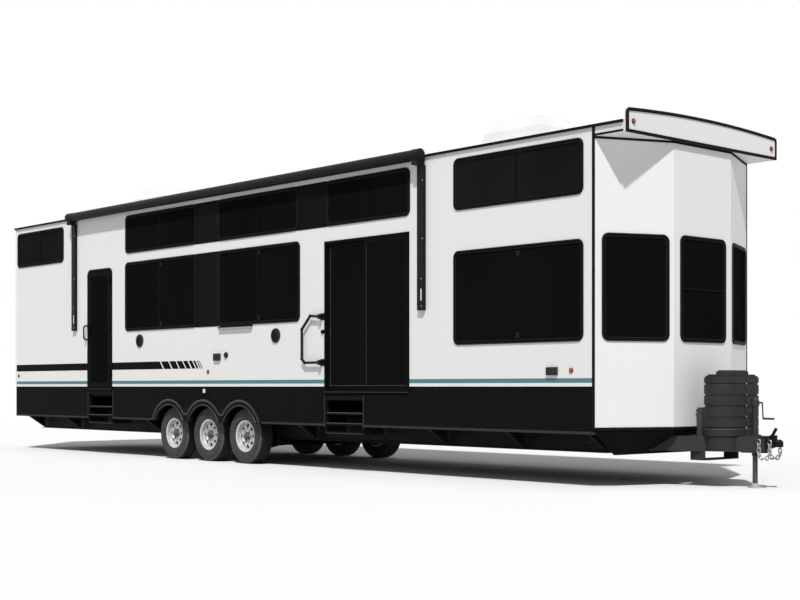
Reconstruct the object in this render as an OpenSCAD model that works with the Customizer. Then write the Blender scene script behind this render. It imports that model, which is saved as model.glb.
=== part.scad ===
// Long travel trailer: a hollow body with a three-sided front bay, on a steel
// chassis with three axles, an A-frame tongue, a coupler and a tongue jack.
// X runs forward to the hitch, Y to the left, Z up, from the ground up.

/* [Body] */
// Width over the side walls
body_w = 2590; // [2440:10:2600]
// Length from the rear wall to the front corners
body_len = 12220; // [12100:20:13200]
// How far the bay stands ahead of the front corners
bay_depth = 355; // [200:5:500]
// Width of the middle facet of the bay
bay_face_w = 980; // [800:10:1200]
// Thickness of the walls
wall_t = 50; // [40:2:60]
// Height of the underside of the roof
roof_z = 3500; // [3400:10:3600]
// Height of the roof's edge above its underside
roof_edge = 85; // [60:5:120]
// Rise of the roof's crown
roof_crown = 145; // [100:5:180]
// Length of the hood ahead of the front corners
hood_len = 390; // [380:5:560]
// Thickness of the sign board and of the soffit
board_t = 30; // [16:2:40]
// Height of the sign board above the roof's edge at its ends
board_rise = 105; // [40:5:150]
// Rise of the crown of the sign board
board_crown = 45; // [20:5:80]

/* [Lower body] */
// Height where the white wall ends and the skirt begins
skirt_top_z = 1006; // [960:2:1040]
// Height of the lower edge of the skirt
skirt_low_z = 530; // [480:5:560]
// Thickness of the skirt
skirt_t = 24; // [12:2:40]
// How far the skirt stands back from the wall's face
skirt_inset = 6; // [2:1:12]
// Height of the lower edge of the bay
bay_low_z = 573; // [560:5:600]
// Height of the top of the floor
floor_z = 935; // [900:5:940]
// Thickness of the floor
floor_t = 75; // [50:5:90]

/* [Windows] */
// Lower edge of the upper row of windows
high_row_z = 2930; // [2900:5:2960]
// Height of the upper row of windows
high_row_h = 550; // [480:5:560]
// Lower edge of the lower side windows
low_row_z = 1805; // [1750:5:1850]
// Height of the lower side windows
low_row_h = 995; // [850:5:1040]
// Lower edge of the front windows
front_row_z = 1455; // [1400:5:1500]
// Height of the front windows
front_row_h = 1070; // [900:5:1100]
// Corner radius of the windows
win_r = 75; // [40:5:110]
// Width of the window frame's flange
win_flange = 34; // [28:2:50]
// How far window frames stand out of the wall
win_proud = 12; // [6:1:20]
// Thickness of a pane
pane_t = 6; // [4:1:10]
// Width of the bar between two panes
mullion_w = 18; // [14:2:40]

/* [Doors] */
// Distance of the entry door from the rear wall
door_x = 2330; // [2250:10:2400]
// Width of the entry door with its frame
door_w = 712; // [660:4:760]
// Height of the entry door with its frame
door_h = 1800; // [1700:10:1850]
// Height of the entry door's sill
door_z = 957; // [945:2:970]
// Distance of the patio door from the rear wall
patio_x = 8010; // [7990:10:8100]
// Width of the patio door with its frame
patio_w = 1512; // [1440:10:1540]
// Height of the patio door with its frame
patio_h = 1822; // [1700:10:1850]
// Width of the door frames' face
door_rim = 34; // [26:2:50]
// Gap round a door leaf
door_gap = 6; // [5:1:10]
// Thickness of the entry door's leaf
leaf_t = 38; // [30:2:44]

/* [Wheels] */
// Outer diameter of the tyres
tyre_od = 719; // [680:1:760]
// Width of the tyres
tyre_w = 225; // [195:5:235]
// Diameter of the bead seat of the rims
rim_d = 381; // [356:1:400]
// Width of the rims over their flanges
rim_w = 190; // [160:5:200]
// Distance between two axles
axle_pitch = 838; // [800:2:900]
// Distance of the middle axle from the rear wall
axle_mid_x = 5430; // [5300:10:5560]
// How far the tyres stand back from the wall's face
tyre_inset = 55; // [45:5:70]
// Number of round holes in a rim
rim_holes = 8; // [5:1:12]
// Radius of the wheel opening round each axle
arch_r = 392; // [385:1:400]
// Radius of the fender moulding round each axle
fender_r = 482; // [450:2:500]
// How far the fender moulding stands out of the skirt
fender_proud = 30; // [15:5:50]

/* [Chassis] */
// Height of the underside of the main rails
rail_low_z = 335; // [320:5:350]
// Depth of the main rails
rail_h = 305; // [280:5:320]
// Width of the main rails' flanges
rail_w = 100; // [80:5:110]
// Distance of the main rails' webs from the walls' faces
rail_in = 380; // [375:5:415]
// Thickness of the steel of the chassis
steel_t = 8; // [6:1:12]
// Distance between two outriggers
outrigger_pitch = 1180; // [1000:20:1300]

/* [Tongue] */
// Length of the tongue from the bay to the coupler's nose
tongue_len = 935; // [900:5:1100]
// Depth of the tongue's rails
tongue_h = 152; // [125:1:160]
// Width of the tongue's rails
tongue_w = 64; // [50:2:70]
// Height of the underside of the tongue's rails
tongue_z = 357; // [345:1:365]
// Angle between a tongue rail and the centre line
tongue_angle = 25; // [23:1:27]
// Distance of the jack from the coupler's nose
jack_back = 313; // [300:1:330]
// Diameter of the jack's inner leg
jack_leg_d = 51; // [44:1:54]
// Width over both ends of the gas bottle cover
cover_w = 680; // [640:5:700]
// Depth of the gas bottle cover, front to back
cover_d = 350; // [330:5:360]
// Height of the gas bottle cover's shell
cover_h = 612; // [560:4:660]
// Distance of the cover's middle from the bay
cover_ahead = 345; // [340:5:360]
// Radius of the ball socket in the coupler
socket_r = 29.8; // [25.4:0.1:30]

/* [Awning] */
// Distance of the awning's rear arm from the rear wall
awning_x = 1961; // [1900:1:2050]
// Distance of the awning's front arm from the patio door
awning_past = 224; // [120:2:300]
// Diameter of the rolled awning
roller_d = 126; // [90:2:130]
// Distance of the roller's axis from the wall
roller_out = 90; // [90:2:100]
// Height of the lower ends of the awning's arms
arm_low_z = 1855; // [1820:5:1900]

/* [Hidden] */
$fn = 48;
far_fn = 1440;
tiny = 1;
run_gap = 0.3;
half_w = body_w / 2;
overall = body_len + bay_depth + tongue_len;
x0 = -overall / 2;
bay_w = (body_w - bay_face_w) / 2;
bay_angle = atan2(bay_w, bay_depth);
bay_side = sqrt(bay_depth * bay_depth + bay_w * bay_w);
edge_z = roof_z + roof_edge;
soffit_z = roof_z - board_t;
bay_x = body_len + bay_depth;
nose_x = bay_x + tongue_len;
win_lap = 12;
sleeve_t = 10;
pane_back = 1;
wheel_z = tyre_od / 2;
tyre_y = half_w - tyre_inset - tyre_w / 2;
rim_y = tyre_y + rim_w / 2;
rail_top_z = rail_low_z + rail_h;
floor_low_z = floor_z - floor_t;
patio_z = floor_z - 5;
skirt_y = half_w - skirt_inset;
rail_y = half_w - rail_in;

BLACK = [0.08, 0.08, 0.08];
WHITE = [0.93, 0.93, 0.92];
STEEL = [0.28, 0.28, 0.29];
SILVER = [0.76, 0.77, 0.79];
AMBER = [0.85, 0.32, 0.08];
RED = [0.7, 0.06, 0.05];
GLASS = [0.07, 0.08, 0.08];

// Faces of the body, each with its own frame: local X along the face as seen
// from outside, local -Y outwards. Columns: start x, start y, turn about Z
RIGHT = 0; BAY_R = 1; BAY_M = 2; BAY_L = 3; LEFT = 4; REAR = 5;
FACES = [
    [0, -half_w, 0],
    [body_len, -half_w, bay_angle],
    [bay_x, -bay_face_w / 2, 90],
    [bay_x, bay_face_w / 2, 180 - bay_angle],
    [body_len, half_w, 180],
    [0, half_w, -90]
];

// Windows. Columns: face, first edge, last edge, sill, height, upright bar,
// level bar. Edges are measured along the face
side_front_in = 140;
side_front_w = 1840;
side_low_w = 1840;
low_win_x = 5760;
WINDOWS = [
    [RIGHT, 70, 1590, high_row_z, high_row_h, true, false],
    [RIGHT, 3420, 5250, high_row_z, high_row_h, true, false],
    [RIGHT, 5755, 7490, high_row_z, high_row_h, true, false],
    [RIGHT, 8040, 9535, high_row_z, high_row_h, true, false],
    [RIGHT, body_len - side_front_in - side_front_w, body_len - side_front_in,
        high_row_z - 15, high_row_h + 15, true, false],
    [RIGHT, 3415, 5250, low_row_z, low_row_h, true, false],
    [RIGHT, low_win_x, low_win_x + 1765, low_row_z, low_row_h, true, false],
    [RIGHT, body_len - side_front_in - side_low_w, body_len - side_front_in,
        front_row_z, 1020, true, false],
    [BAY_R, 79, bay_side - 54, front_row_z, front_row_h, false, false],
    [BAY_M, 101, bay_face_w - 101, front_row_z, front_row_h + 10, false, true],
    [BAY_L, 54, bay_side - 79, front_row_z, front_row_h, false, false],
    [LEFT, side_front_in, side_front_in + side_front_w, high_row_z - 15, high_row_h + 15,
        true, false],
    [LEFT, side_front_in, side_front_in + side_low_w, front_row_z, 1020, true, false],
    [LEFT, 3200, 4695, high_row_z, high_row_h, true, false],
    [LEFT, 4970, 6800, high_row_z, high_row_h, true, false],
    [LEFT, 4970, 6800, low_row_z, low_row_h, true, false],
    [LEFT, 9400, 10500, low_row_z, low_row_h, true, false],
    [REAR, 545, 2045, high_row_z, high_row_h, true, false]
];

// Black panels between windows. Columns: first edge, last edge, sill, height
BANDS = [
    [5252, 5753, high_row_z, high_row_h],
    [7492, 8038, high_row_z, high_row_h],
    [5252, low_win_x - 2, low_row_z, low_row_h]
];

// Wheels. Columns: name, side (-1 is the door side), axle counted from the rear
WHEELS = [
    ["right_1", -1, -1], ["right_2", -1, 0], ["right_3", -1, 1],
    ["left_1", 1, -1], ["left_2", 1, 0], ["left_3", 1, 1]
];
AXLES = [-1, 0, 1];
SIDES = [-1, 1];

FIXED = ["roof", "front_hood", "side_wall_right", "side_wall_left", "rear_wall",
    "front_wall", "floor", "skirt_right", "skirt_left", "skirt_rear", "front_apron",
    "main_rails", "cross_members", "underbelly", "tongue_frame", "coupler",
    "safety_chains", "tongue_jack", "gas_cover", "battery_box", "axles", "leaf_springs",
    "fenders", "window_frames", "window_panes", "entry_door_frame", "patio_door_frame",
    "awning_roller", "awning_arms", "entry_steps", "air_conditioners", "roof_vents",
    "wall_trim", "lamps", "side_fittings"];
MOVING = ["entry_door", "patio_slider", "assist_handle", "gas_cover_lid"];

// Rounded rectangle from its lower left corner
module rrect(w, h, r) {
    translate([r, 0]) square([w - 2 * r, h]);
    translate([0, r]) square([w, h - 2 * r]);
    for (x = [r, w - r], y = [r, h - r]) translate([x, y]) circle(r);
}

// Door outline: round corners at the top only
module arched(w, h, r) {
    square([w, h - r]);
    translate([r, 0]) square([w - 2 * r, h]);
    for (x = [r, w - r]) translate([x, h - r]) circle(r);
}

// Moves children from the rear wall's foot to the trailer's own frame
module place() translate([x0, 0, 0]) children();

// Puts children on a face of the body
module on_face(i)
    place() translate([FACES[i][0], FACES[i][1], 0]) rotate(FACES[i][2]) children();

// Upright slab of an outline in X and Z, from depth y, t thick
module slab(y, t) translate([0, y + t, 0]) rotate([90, 0, 0]) linear_extrude(t) children();

// Bar along X with an outline in Y and Z
module along_x(x, len) translate([x, 0, 0]) rotate([90, 0, 90]) linear_extrude(len) children();

// Round bar between two points
module rod(a, b, d) {
    v = b - a;
    len = norm(v);
    translate(a) rotate([0, acos(v[2] / len), atan2(v[1], v[0])]) cylinder(d = d, h = len);
}

// Holes for the windows of one face
module window_holes(face)
    for (w = WINDOWS) if (w[0] == face)
        translate([w[1] + win_lap, w[3] + win_lap])
            rrect(w[2] - w[1] - 2 * win_lap, w[4] - 2 * win_lap, win_r - win_lap);

module door_hole(lap)
    translate([door_x + lap, door_z - tiny])
        arched(door_w - 2 * lap, door_h - lap + tiny, door_r - lap);

module patio_hole(lap)
    translate([patio_x + lap, patio_z - tiny]) square([patio_w - 2 * lap, patio_h - lap + tiny]);

// A wall: the white panel, and behind the skirt its foot beside the floor
skirt_back = skirt_inset + skirt_t;
module wall_panel(inset, len) {
    slab(0, wall_t) difference() {
        translate([inset, skirt_top_z]) square([len - 2 * inset, roof_z - skirt_top_z]);
        children();
    }
    foot_inset = max(inset, skirt_back);
    slab(skirt_back, wall_t - skirt_back) difference() {
        translate([foot_inset, floor_low_z]) square([len - 2 * foot_inset, skirt_top_z - floor_low_z]);
        children();
    }
}

module side_wall_right() color(WHITE) on_face(RIGHT) wall_panel(0, body_len) {
    union() {
        window_holes(RIGHT);
        door_hole(win_lap);
        patio_hole(win_lap);
    }
}

module side_wall_left() color(WHITE) on_face(LEFT) wall_panel(0, body_len) window_holes(LEFT);

module rear_wall() color(WHITE) on_face(REAR) wall_panel(wall_t, body_w) window_holes(REAR);

// Plan of the bay's outer face, moved in by t, and closed along the front corners
function bay_in_y(t) = half_w - t * bay_side / bay_depth;
function bay_in_face(t) = bay_face_w / 2 - t * (bay_side - bay_w) / bay_depth;
function bay_plan(t) = [
    [body_len, -bay_in_y(t)], [bay_x - t, -bay_in_face(t)],
    [bay_x - t, bay_in_face(t)], [body_len, bay_in_y(t)]
];

module front_wall() color(WHITE) difference() {
    place() translate([0, 0, bay_low_z]) linear_extrude(soffit_z - bay_low_z) difference() {
        polygon(bay_plan(0));
        polygon(concat([[body_len - tiny, -bay_in_y(wall_t)]], bay_plan(wall_t),
            [[body_len - tiny, bay_in_y(wall_t)]]));
    }
    for (i = [BAY_R, BAY_M, BAY_L]) on_face(i) slab(-tiny, 2 * wall_t) window_holes(i);
}

// Outline of a crowned board: y half-width, foot, side height and crown
module crowned(half, foot, side_h, crown) {
    r = (half * half + crown * crown) / (2 * crown);
    intersection() {
        translate([-half, foot]) square([2 * half, side_h + crown]);
        translate([0, foot + side_h + crown - r]) circle(r, $fn = far_fn);
    }
}

module roof_form(x, len) along_x(x, len) crowned(half_w, roof_z, roof_edge, roof_crown);
module roof() color(WHITE) place() roof_form(0, body_len + hood_len - board_t);

board_half = half_w - 20;
board_h = roof_z - soffit_z + roof_edge + board_rise;
module board_outline(inset)
    crowned(board_half - inset, soffit_z + inset, board_h - 2 * inset, board_crown);

module front_hood() color(WHITE) place() {
    translate([body_len, -half_w, soffit_z]) cube([hood_len - board_t, body_w, roof_z - soffit_z]);
    along_x(body_len + hood_len - board_t, board_t) board_outline(0);
}

module floor() color([0.45, 0.4, 0.34]) place() translate([0, 0, floor_low_z])
    linear_extrude(floor_t) polygon(concat(
        [[wall_t, half_w - wall_t], [wall_t, -half_w + wall_t], [body_len, -half_w + wall_t]],
        bay_plan(wall_t), [[body_len, half_w - wall_t]]));

wheel_xs = [for (a = AXLES) axle_mid_x + a * axle_pitch];
module wheel_openings() for (x = wheel_xs) translate([x, wheel_z]) circle(arch_r, $fn = 96);

// Step units under the two doors. Columns: distance of their start from the rear
// wall, height of the foot, height of the top
step_w = 700;
STEPS = [
    [door_x + (door_w - step_w) / 2, 462, door_z - 13],
    [patio_x - 5, 442, patio_z - 38]
];
module step_wells(clear)
    for (s = STEPS) translate([s[0] - clear, s[1] - clear])
        square([step_w + 2 * clear, s[2] - s[1] + 2 * clear]);

module skirt_right() color(BLACK) on_face(RIGHT) slab(skirt_inset, skirt_t) difference() {
    translate([0, skirt_low_z]) square([body_len, skirt_top_z - skirt_low_z]);
    door_hole(0);
    patio_hole(0);
    wheel_openings();
    step_wells(door_gap);
}

module skirt_left() color(BLACK) on_face(LEFT) slab(skirt_inset, skirt_t) difference() {
    translate([0, skirt_low_z]) square([body_len, skirt_top_z - skirt_low_z]);
    translate([body_len, 0]) mirror([1, 0]) wheel_openings();
}

module skirt_rear() color(BLACK) on_face(REAR) slab(skirt_inset, skirt_t)
    translate([skirt_inset + skirt_t, skirt_low_z])
        square([body_w - 2 * (skirt_inset + skirt_t), skirt_top_z - skirt_low_z]);

// Three arches in one moulding, proud of the skirt
module fender_face() difference() {
    union() {
        for (x = wheel_xs) translate([x, wheel_z]) circle(fender_r, $fn = 96);
        translate([wheel_xs[0], skirt_low_z])
            square([wheel_xs[2] - wheel_xs[0], 0.76 * fender_r - (skirt_low_z - wheel_z)]);
    }
    wheel_openings();
    translate([0, -half_w]) square([body_len, half_w + skirt_low_z]);
}

module fenders() color(BLACK) {
    on_face(RIGHT) slab(skirt_inset - fender_proud, fender_proud) fender_face();
    on_face(LEFT) slab(skirt_inset - fender_proud, fender_proud)
        translate([body_len, 0]) mirror([1, 0]) fender_face();
}

// Sloped pan under the bay, from the bay's foot back to the main rails
apron_t = 10;
apron_x = body_len + 30;
apron_half = rail_y + rail_w / 2 + 35;
tongue_x = nose_x - 180;
module apron_shell(inset) hull() {
    translate([0, 0, bay_low_z - 22]) linear_extrude(tiny)
        polygon(concat([[apron_x - 420, bay_in_y(inset) - inset],
            [apron_x - 420, inset - bay_in_y(inset)]], bay_plan(inset)));
    translate([apron_x - 420, inset - apron_half, rail_low_z - 14])
        cube([420 - inset, 2 * (apron_half - inset), tiny]);
}
module tongue_space(clear) translate([0, 0, tongue_z - clear])
    linear_extrude(tongue_h + 2 * clear) tongue_plan(clear);

module front_apron() color(BLACK) place() {
    difference() {
        apron_shell(0);
        translate([-tiny, 0, tiny]) apron_shell(apron_t);
        translate([body_len - half_w, -half_w, 0]) cube([half_w, body_w, roof_z]);
        tongue_space(2);
    }
    translate([0, 0, bay_low_z - 21]) linear_extrude(21) difference() {
        polygon(bay_plan(4));
        polygon(concat([[body_len - tiny, -bay_in_y(30)]], bay_plan(30),
            [[body_len - tiny, bay_in_y(30)]]));
    }
}

rail_x = 250;
rail_len = body_len - rail_x - 110;
module rail_profile() {
    for (z = [rail_low_z, rail_top_z - steel_t])
        translate([-rail_w / 2, z]) square([rail_w, steel_t]);
    translate([-steel_t / 2, rail_low_z]) square([steel_t, rail_h]);
}

module main_rails() color(STEEL) place()
    for (s = SIDES) translate([0, s * rail_y, 0]) along_x(rail_x, rail_len) rail_profile();

// Stations of the cross members, and those where nothing stands beside the rails
joist_t = 50;
rail_end = rail_x + rail_len;
stations = concat([for (x = [rail_x + 60 : outrigger_pitch : rail_end - 4 * joist_t]) x],
    [rail_end - joist_t]);
function beside(x) =
    (x < wheel_xs[0] - fender_r || x > wheel_xs[2] + fender_r)
    && len([for (s = STEPS) if (x > s[0] - 80 && x < s[0] + step_w + 30) s]) == 0;
rail_out = rail_y + rail_w / 2;
web_in = rail_y - steel_t / 2;
tube_end_x = tongue_x - web_in / tan(tongue_angle) - 120;

module cross_members() color(STEEL) place() {
    for (x = stations) translate([x, 0, 0]) {
        translate([0, -rail_out, rail_top_z]) cube([joist_t, 2 * rail_out, floor_low_z - rail_top_z]);
        if (x < tube_end_x)
            translate([0, -web_in, rail_low_z + 25]) cube([joist_t, 2 * web_in, 100]);
        if (beside(x)) for (s = SIDES) scale([1, s, 1]) along_x(0, joist_t) polygon([
            [rail_out, rail_low_z + 20], [half_w - skirt_back, skirt_low_z + 20],
            [half_w - skirt_back, floor_low_z], [rail_out, floor_low_z]]);
    }
}

underbelly_z = tongue_z + tongue_h + 6;
module underbelly() color(BLACK) place()
    translate([rail_x, -web_in, underbelly_z]) cube([rail_len, 2 * web_in, 8]);

// Plan of the tongue's two rails, from the main rails to the coupler
module tongue_plan(grow) intersection() {
    for (s = SIDES) translate([tongue_x, 0]) rotate(180 + s * tongue_angle)
        translate([0, -tongue_w / 2 - grow]) square([2 * rail_y / sin(tongue_angle), tongue_w + 2 * grow]);
    translate([0, -web_in]) square([nose_x, 2 * web_in]);
}

jack_x = nose_x - jack_back;
jack_tube_d = jack_leg_d + 12;
cover_x = bay_x + cover_ahead;
tongue_top = tongue_z + tongue_h;
tray_t = 6;
tray_d = 0.84 * cover_d;
tray_w = 0.64 * cover_w;
box_ahead = 28;
box_d = 118;
box_w = 290;
box_h = 236;
// Cradle hung under the tongue's rails, open to the front and the rear
cradle_in = 55;
cradle_d = 175;
cradle_t = 12;
cradle_z = 265;
cradle_half = (tongue_x - bay_x - cradle_in - cradle_d / 2) * tan(tongue_angle);
module tongue_frame() color(STEEL) place() difference() {
    union() {
        translate([0, 0, tongue_z]) linear_extrude(tongue_h) tongue_plan(0);
        for (z = [tongue_z - steel_t, tongue_top]) translate([0, 0, z]) linear_extrude(steel_t)
            polygon([[jack_x - 90, -115], [tongue_x + 15, -45], [tongue_x + 15, 45], [jack_x - 90, 115]]);
        translate([cover_x - tray_d / 2, -tray_w / 2, tongue_top]) cube([tray_d, tray_w, tray_t]);
        translate([bay_x + box_ahead - 8, -260, tongue_top]) cube([box_d + 16, 520, tray_t]);
        translate([tongue_x + pin_start[0], 0, tongue_z + pin_start[1]]) chain_pin();
        translate([bay_x + cradle_in, 0, 0]) {
            for (s = SIDES) translate([0, s * cradle_half - cradle_t / 2, cradle_z])
                cube([cradle_d, cradle_t, tongue_z - cradle_z + tiny]);
            translate([0, -cradle_half, cradle_z]) cube([cradle_d, 2 * cradle_half, cradle_t]);
        }
    }
    translate([jack_x, 0, 0]) cylinder(d = jack_tube_d + 2 * run_gap, h = tongue_top + 2 * steel_t);
}

// Ribbed shell over two gas bottles: a stadium in plan, with grooves between ribs
module stadium(w, d) {
    square([d, w - d], center = true);
    for (s = SIDES) translate([0, s * (w - d) / 2]) circle(d = d, $fn = 64);
}
cover_z = tongue_top + tray_t;
cover_top = cover_z + cover_h;
GROOVES = [0.155, 0.335, 0.515, 0.7, 0.87];
groove_h = 20;
lid_w = 420;
lid_d = 200;
module gas_cover() color(BLACK) place() translate([cover_x, 0, 0]) {
    difference() {
        union() {
            translate([0, 0, cover_z]) linear_extrude(cover_h - 30) stadium(cover_w, cover_d);
            translate([0, 0, cover_top - 30]) linear_extrude(16) stadium(cover_w - 24, cover_d - 24);
            translate([0, 0, cover_top - 14]) linear_extrude(14) stadium(cover_w - 70, cover_d - 70);
        }
        for (g = GROOVES) translate([0, 0, cover_top - g * cover_h - groove_h / 2])
            linear_extrude(groove_h) difference() {
                stadium(cover_w + 20, cover_d + 20);
                stadium(cover_w - 22, cover_d - 22);
            }
    }
    difference() {
        translate([0, 0, tongue_z + 4]) linear_extrude(cover_z - tongue_z - 4) difference() {
            stadium(cover_w - 30, cover_d - 30);
            translate([-cover_x, 0]) polygon([[tongue_x + 100, 0],
                [cover_x - cover_d, (tongue_x + 100 - cover_x + cover_d) * tan(tongue_angle)],
                [cover_x - cover_d, -(tongue_x + 100 - cover_x + cover_d) * tan(tongue_angle)]]);
        }
        translate([-tray_d / 2 - run_gap, -tray_w / 2 - run_gap, tongue_z])
            cube([tray_d + 2 * run_gap, tray_w + 2 * run_gap, cover_z - tongue_z]);
    }
    for (s = SIDES) {
        translate([-lid_d / 2, s * 90 - 20, cover_top + 7]) rotate([-90, 0, 0]) cylinder(d = 12, h = 40);
        translate([-lid_d / 2 - 6, s * 90 - 20, cover_top - 1]) cube([12, 40, 8]);
    }
}

module gas_cover_lid() color(BLACK) place() translate([cover_x, 0, 0]) {
    translate([7, 0, cover_top + run_gap]) linear_extrude(30) stadium(lid_w, lid_d - 14);
    translate([8, 0, cover_top + 30]) linear_extrude(12) stadium(lid_w - 40, lid_d - 50);
    translate([-lid_d / 2, -69.5, cover_top + 7]) rotate([-90, 0, 0]) cylinder(d = 12, h = 139);
    translate([-lid_d / 2, -69.5, cover_top + 1]) cube([14, 139, 12]);
}

module battery_box() color([0.3, 0.3, 0.31]) place()
    translate([bay_x + box_ahead, -box_w / 2, tongue_top + tray_t]) {
        cube([box_d, box_w, box_h]);
        translate([-6, -6, box_h]) cube([box_d + 12, box_w + 12, 26]);
        translate([4, 6, box_h + 26]) cube([box_d - 8, box_w - 12, 16]);
    }

// Outer tube, leg, foot, gear head and crank of the tongue jack
jack_top = 812;
module tongue_jack() color(BLACK) place() translate([jack_x, 0, 0]) {
    difference() {
        union() {
            translate([0, 0, tongue_z - 40]) cylinder(d = jack_tube_d, h = jack_top - tongue_z + 40);
            translate([0, 0, tongue_top + steel_t]) cylinder(d = 118, h = 12);
            translate([0, 0, jack_top]) cylinder(d = jack_tube_d + 22, h = 52);
            translate([0, 0, jack_top + 52]) sphere(d = jack_tube_d + 12);
        }
        translate([0, 0, -tiny]) cylinder(d = jack_leg_d + 2, h = tongue_z + 60);
    }
    cylinder(d1 = 156, d2 = 132, h = 12);
    translate([0, 0, 12]) cylinder(d1 = 96, d2 = jack_leg_d, h = 34);
    cylinder(d = jack_leg_d, h = tongue_z + 60 + tiny);
    crank_z = jack_top + 34;
    rod([30, 0, crank_z], [82, 0, crank_z], 16);
    translate([82, 0, crank_z]) sphere(d = 16);
    rod([82, 0, crank_z], [92, 0, crank_z - 158], 14);
    translate([92, 0, crank_z - 158]) sphere(d = 14);
    rod([92, 0, crank_z - 158], [216, 0, crank_z - 158], 20);
}

// Two chains that hang in a bight between a pin through the tongue and one
// through the coupler
link_d = 12;
link_in = 40;
link_w = 46;
bight_r = 62;
bight_h = 121;
chain_n = 11;
chain_y = 92;
chain_start = [-30, 120];
pin_d = 12;
link_step = link_in - 0.6;
pin_up = (link_in - pin_d) / 2;
function bight(s) =
    s < bight_h ? [0, -s, 0]
    : s < bight_h + PI * bight_r ? let (a = (s - bight_h) / bight_r * 180 / PI)
        [bight_r - bight_r * cos(a), -bight_h - bight_r * sin(a), a]
    : [2 * bight_r, -bight_h + (s - bight_h - PI * bight_r), 180];
pin_start = chain_start + [0, pin_up - link_step / 2];
last_link = bight((chain_n - 0.5) * link_step);
chain_end = chain_start + [last_link[0], last_link[1] + pin_up];
module chain_pin() rotate([90, 0, 0]) {
    cylinder(d = pin_d, h = 2 * chain_y + 24, center = true);
    for (s = SIDES) translate([0, 0, s * (chain_y + 14)]) cylinder(d = 2 * pin_d, h = 4, center = true);
}

// Coupler: a formed hood over a ball socket, with its latch on top
socket_z = tongue_z + 60;
socket_len = 34;
module coupler() color(BLACK) place() difference() {
    union() {
        hull() {
            translate([tongue_x + 15, -52, tongue_z + 30]) cube([tiny, 104, 112]);
            translate([nose_x - 62, -40, socket_z + 4]) cube([tiny, 80, 62]);
        }
        translate([nose_x - 47, 0, socket_z - 4]) cylinder(r = 47, h = 52);
        translate([nose_x - 47, 0, socket_z + 48]) cylinder(r1 = 47, r2 = 30, h = 18);
        translate([tongue_x + 55, -13, socket_z + 70]) rotate([0, -58, 0]) cube([120, 26, 22]);
        translate([tongue_x + 40, -18, tongue_z + 110]) cube([70, 36, 60]);
        translate([tongue_x + chain_end[0], 0, tongue_z + chain_end[1]]) chain_pin();
    }
    translate([nose_x - 47, 0, socket_z - 5]) cylinder(r = socket_r, h = socket_len + 1);
    translate([nose_x - 47, 0, socket_z - 4 + socket_len]) sphere(r = socket_r);
}

module chain_link() {
    turn_r = (link_w - link_d) / 2;
    half = link_in / 2 + link_d / 2 - turn_r;
    for (s = SIDES) {
        translate([0, 0, s * half]) rotate([90, 0, 0]) rotate([0, 0, s > 0 ? 0 : 180])
            rotate_extrude(angle = 180) translate([turn_r, 0]) circle(d = link_d, $fn = 16);
        translate([s * turn_r, 0, -half]) cylinder(d = link_d, h = 2 * half, $fn = 16);
    }
}
module safety_chains() color(SILVER) place()
    for (side = SIDES) translate([tongue_x + chain_start[0], side * chain_y, tongue_z + chain_start[1]])
        for (i = [0 : chain_n - 1]) {
            b = bight((i + 0.5) * link_step);
            translate([b[0], 0, b[1]]) rotate([0, -b[2], 0]) rotate(i % 2 == 0 ? 0 : 90) chain_link();
        }

// Drop axles with their arms, spindles, drums and hubs
beam_z = 262;
beam_d = 76;
arm_y = rail_out + 6;
drum_d = 290;
hub_d = 84;
disc_in = 45;
disc_t = 8;
disc_y = rim_y - disc_in - disc_t - run_gap;
hub_t = 30;
arm_t = 24;
module axles() color(STEEL) place() for (x = wheel_xs) translate([x, 0, 0]) {
    translate([0, 0, beam_z]) rotate([90, 0, 0]) cylinder(d = beam_d, h = 2 * arm_y + arm_t, center = true);
    for (s = SIDES) scale([1, s, 1]) {
        translate([-52, arm_y, beam_z - beam_d / 2 - 10]) cube([104, arm_t, wheel_z - beam_z + beam_d + 20]);
        translate([0, arm_y + arm_t / 2, wheel_z]) rotate([-90, 0, 0])
            cylinder(d = drum_d, h = disc_y - hub_t - arm_y - arm_t / 2);
        translate([0, arm_y + arm_t / 2, wheel_z]) rotate([-90, 0, 0])
            cylinder(d = 150, h = disc_y - arm_y - arm_t / 2);
        translate([0, arm_y + arm_t / 2, wheel_z]) rotate([-90, 0, 0])
            cylinder(d = hub_d - 2 * run_gap, h = disc_y + disc_t - run_gap - arm_y - arm_t / 2);
    }
}

// Leaf springs under the axles, with hangers and equalizers
spring_half = 325;
spring_w = 45;
spring_t = 26;
spring_camber = 46;
spring_r = (spring_half * spring_half + spring_camber * spring_camber) / (2 * spring_camber);
spring_z = beam_z - beam_d / 2 - spring_t;
eye_d = 34;
module leaf_springs() color(STEEL) place() for (s = SIDES) translate([0, s * rail_y + spring_w / 2, 0])
    rotate([90, 0, 0]) {
        for (x = wheel_xs) translate([x, 0]) {
            linear_extrude(spring_w) intersection() {
                translate([0, spring_z + spring_r]) difference() {
                    circle(r = spring_r, $fn = 720);
                    circle(r = spring_r - spring_t, $fn = 720);
                }
                translate([-spring_half, 0]) square([2 * spring_half, wheel_z]);
            }
            for (e = SIDES) translate([e * spring_half, spring_z + spring_camber + spring_t / 2])
                cylinder(d = eye_d, h = spring_w);
        }
        for (x = [wheel_xs[0] - spring_half, wheel_xs[0] + axle_pitch / 2,
                wheel_xs[1] + axle_pitch / 2, wheel_xs[2] + spring_half])
            translate([x - 32, spring_z + spring_camber - 6, -8])
                cube([64, rail_low_z - spring_z - spring_camber + 6, spring_w + 16]);
        for (x = [wheel_xs[0] + axle_pitch / 2, wheel_xs[1] + axle_pitch / 2])
            translate([x - 96, spring_z + spring_camber, 4]) cube([192, 26, spring_w - 8]);
    }

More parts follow.
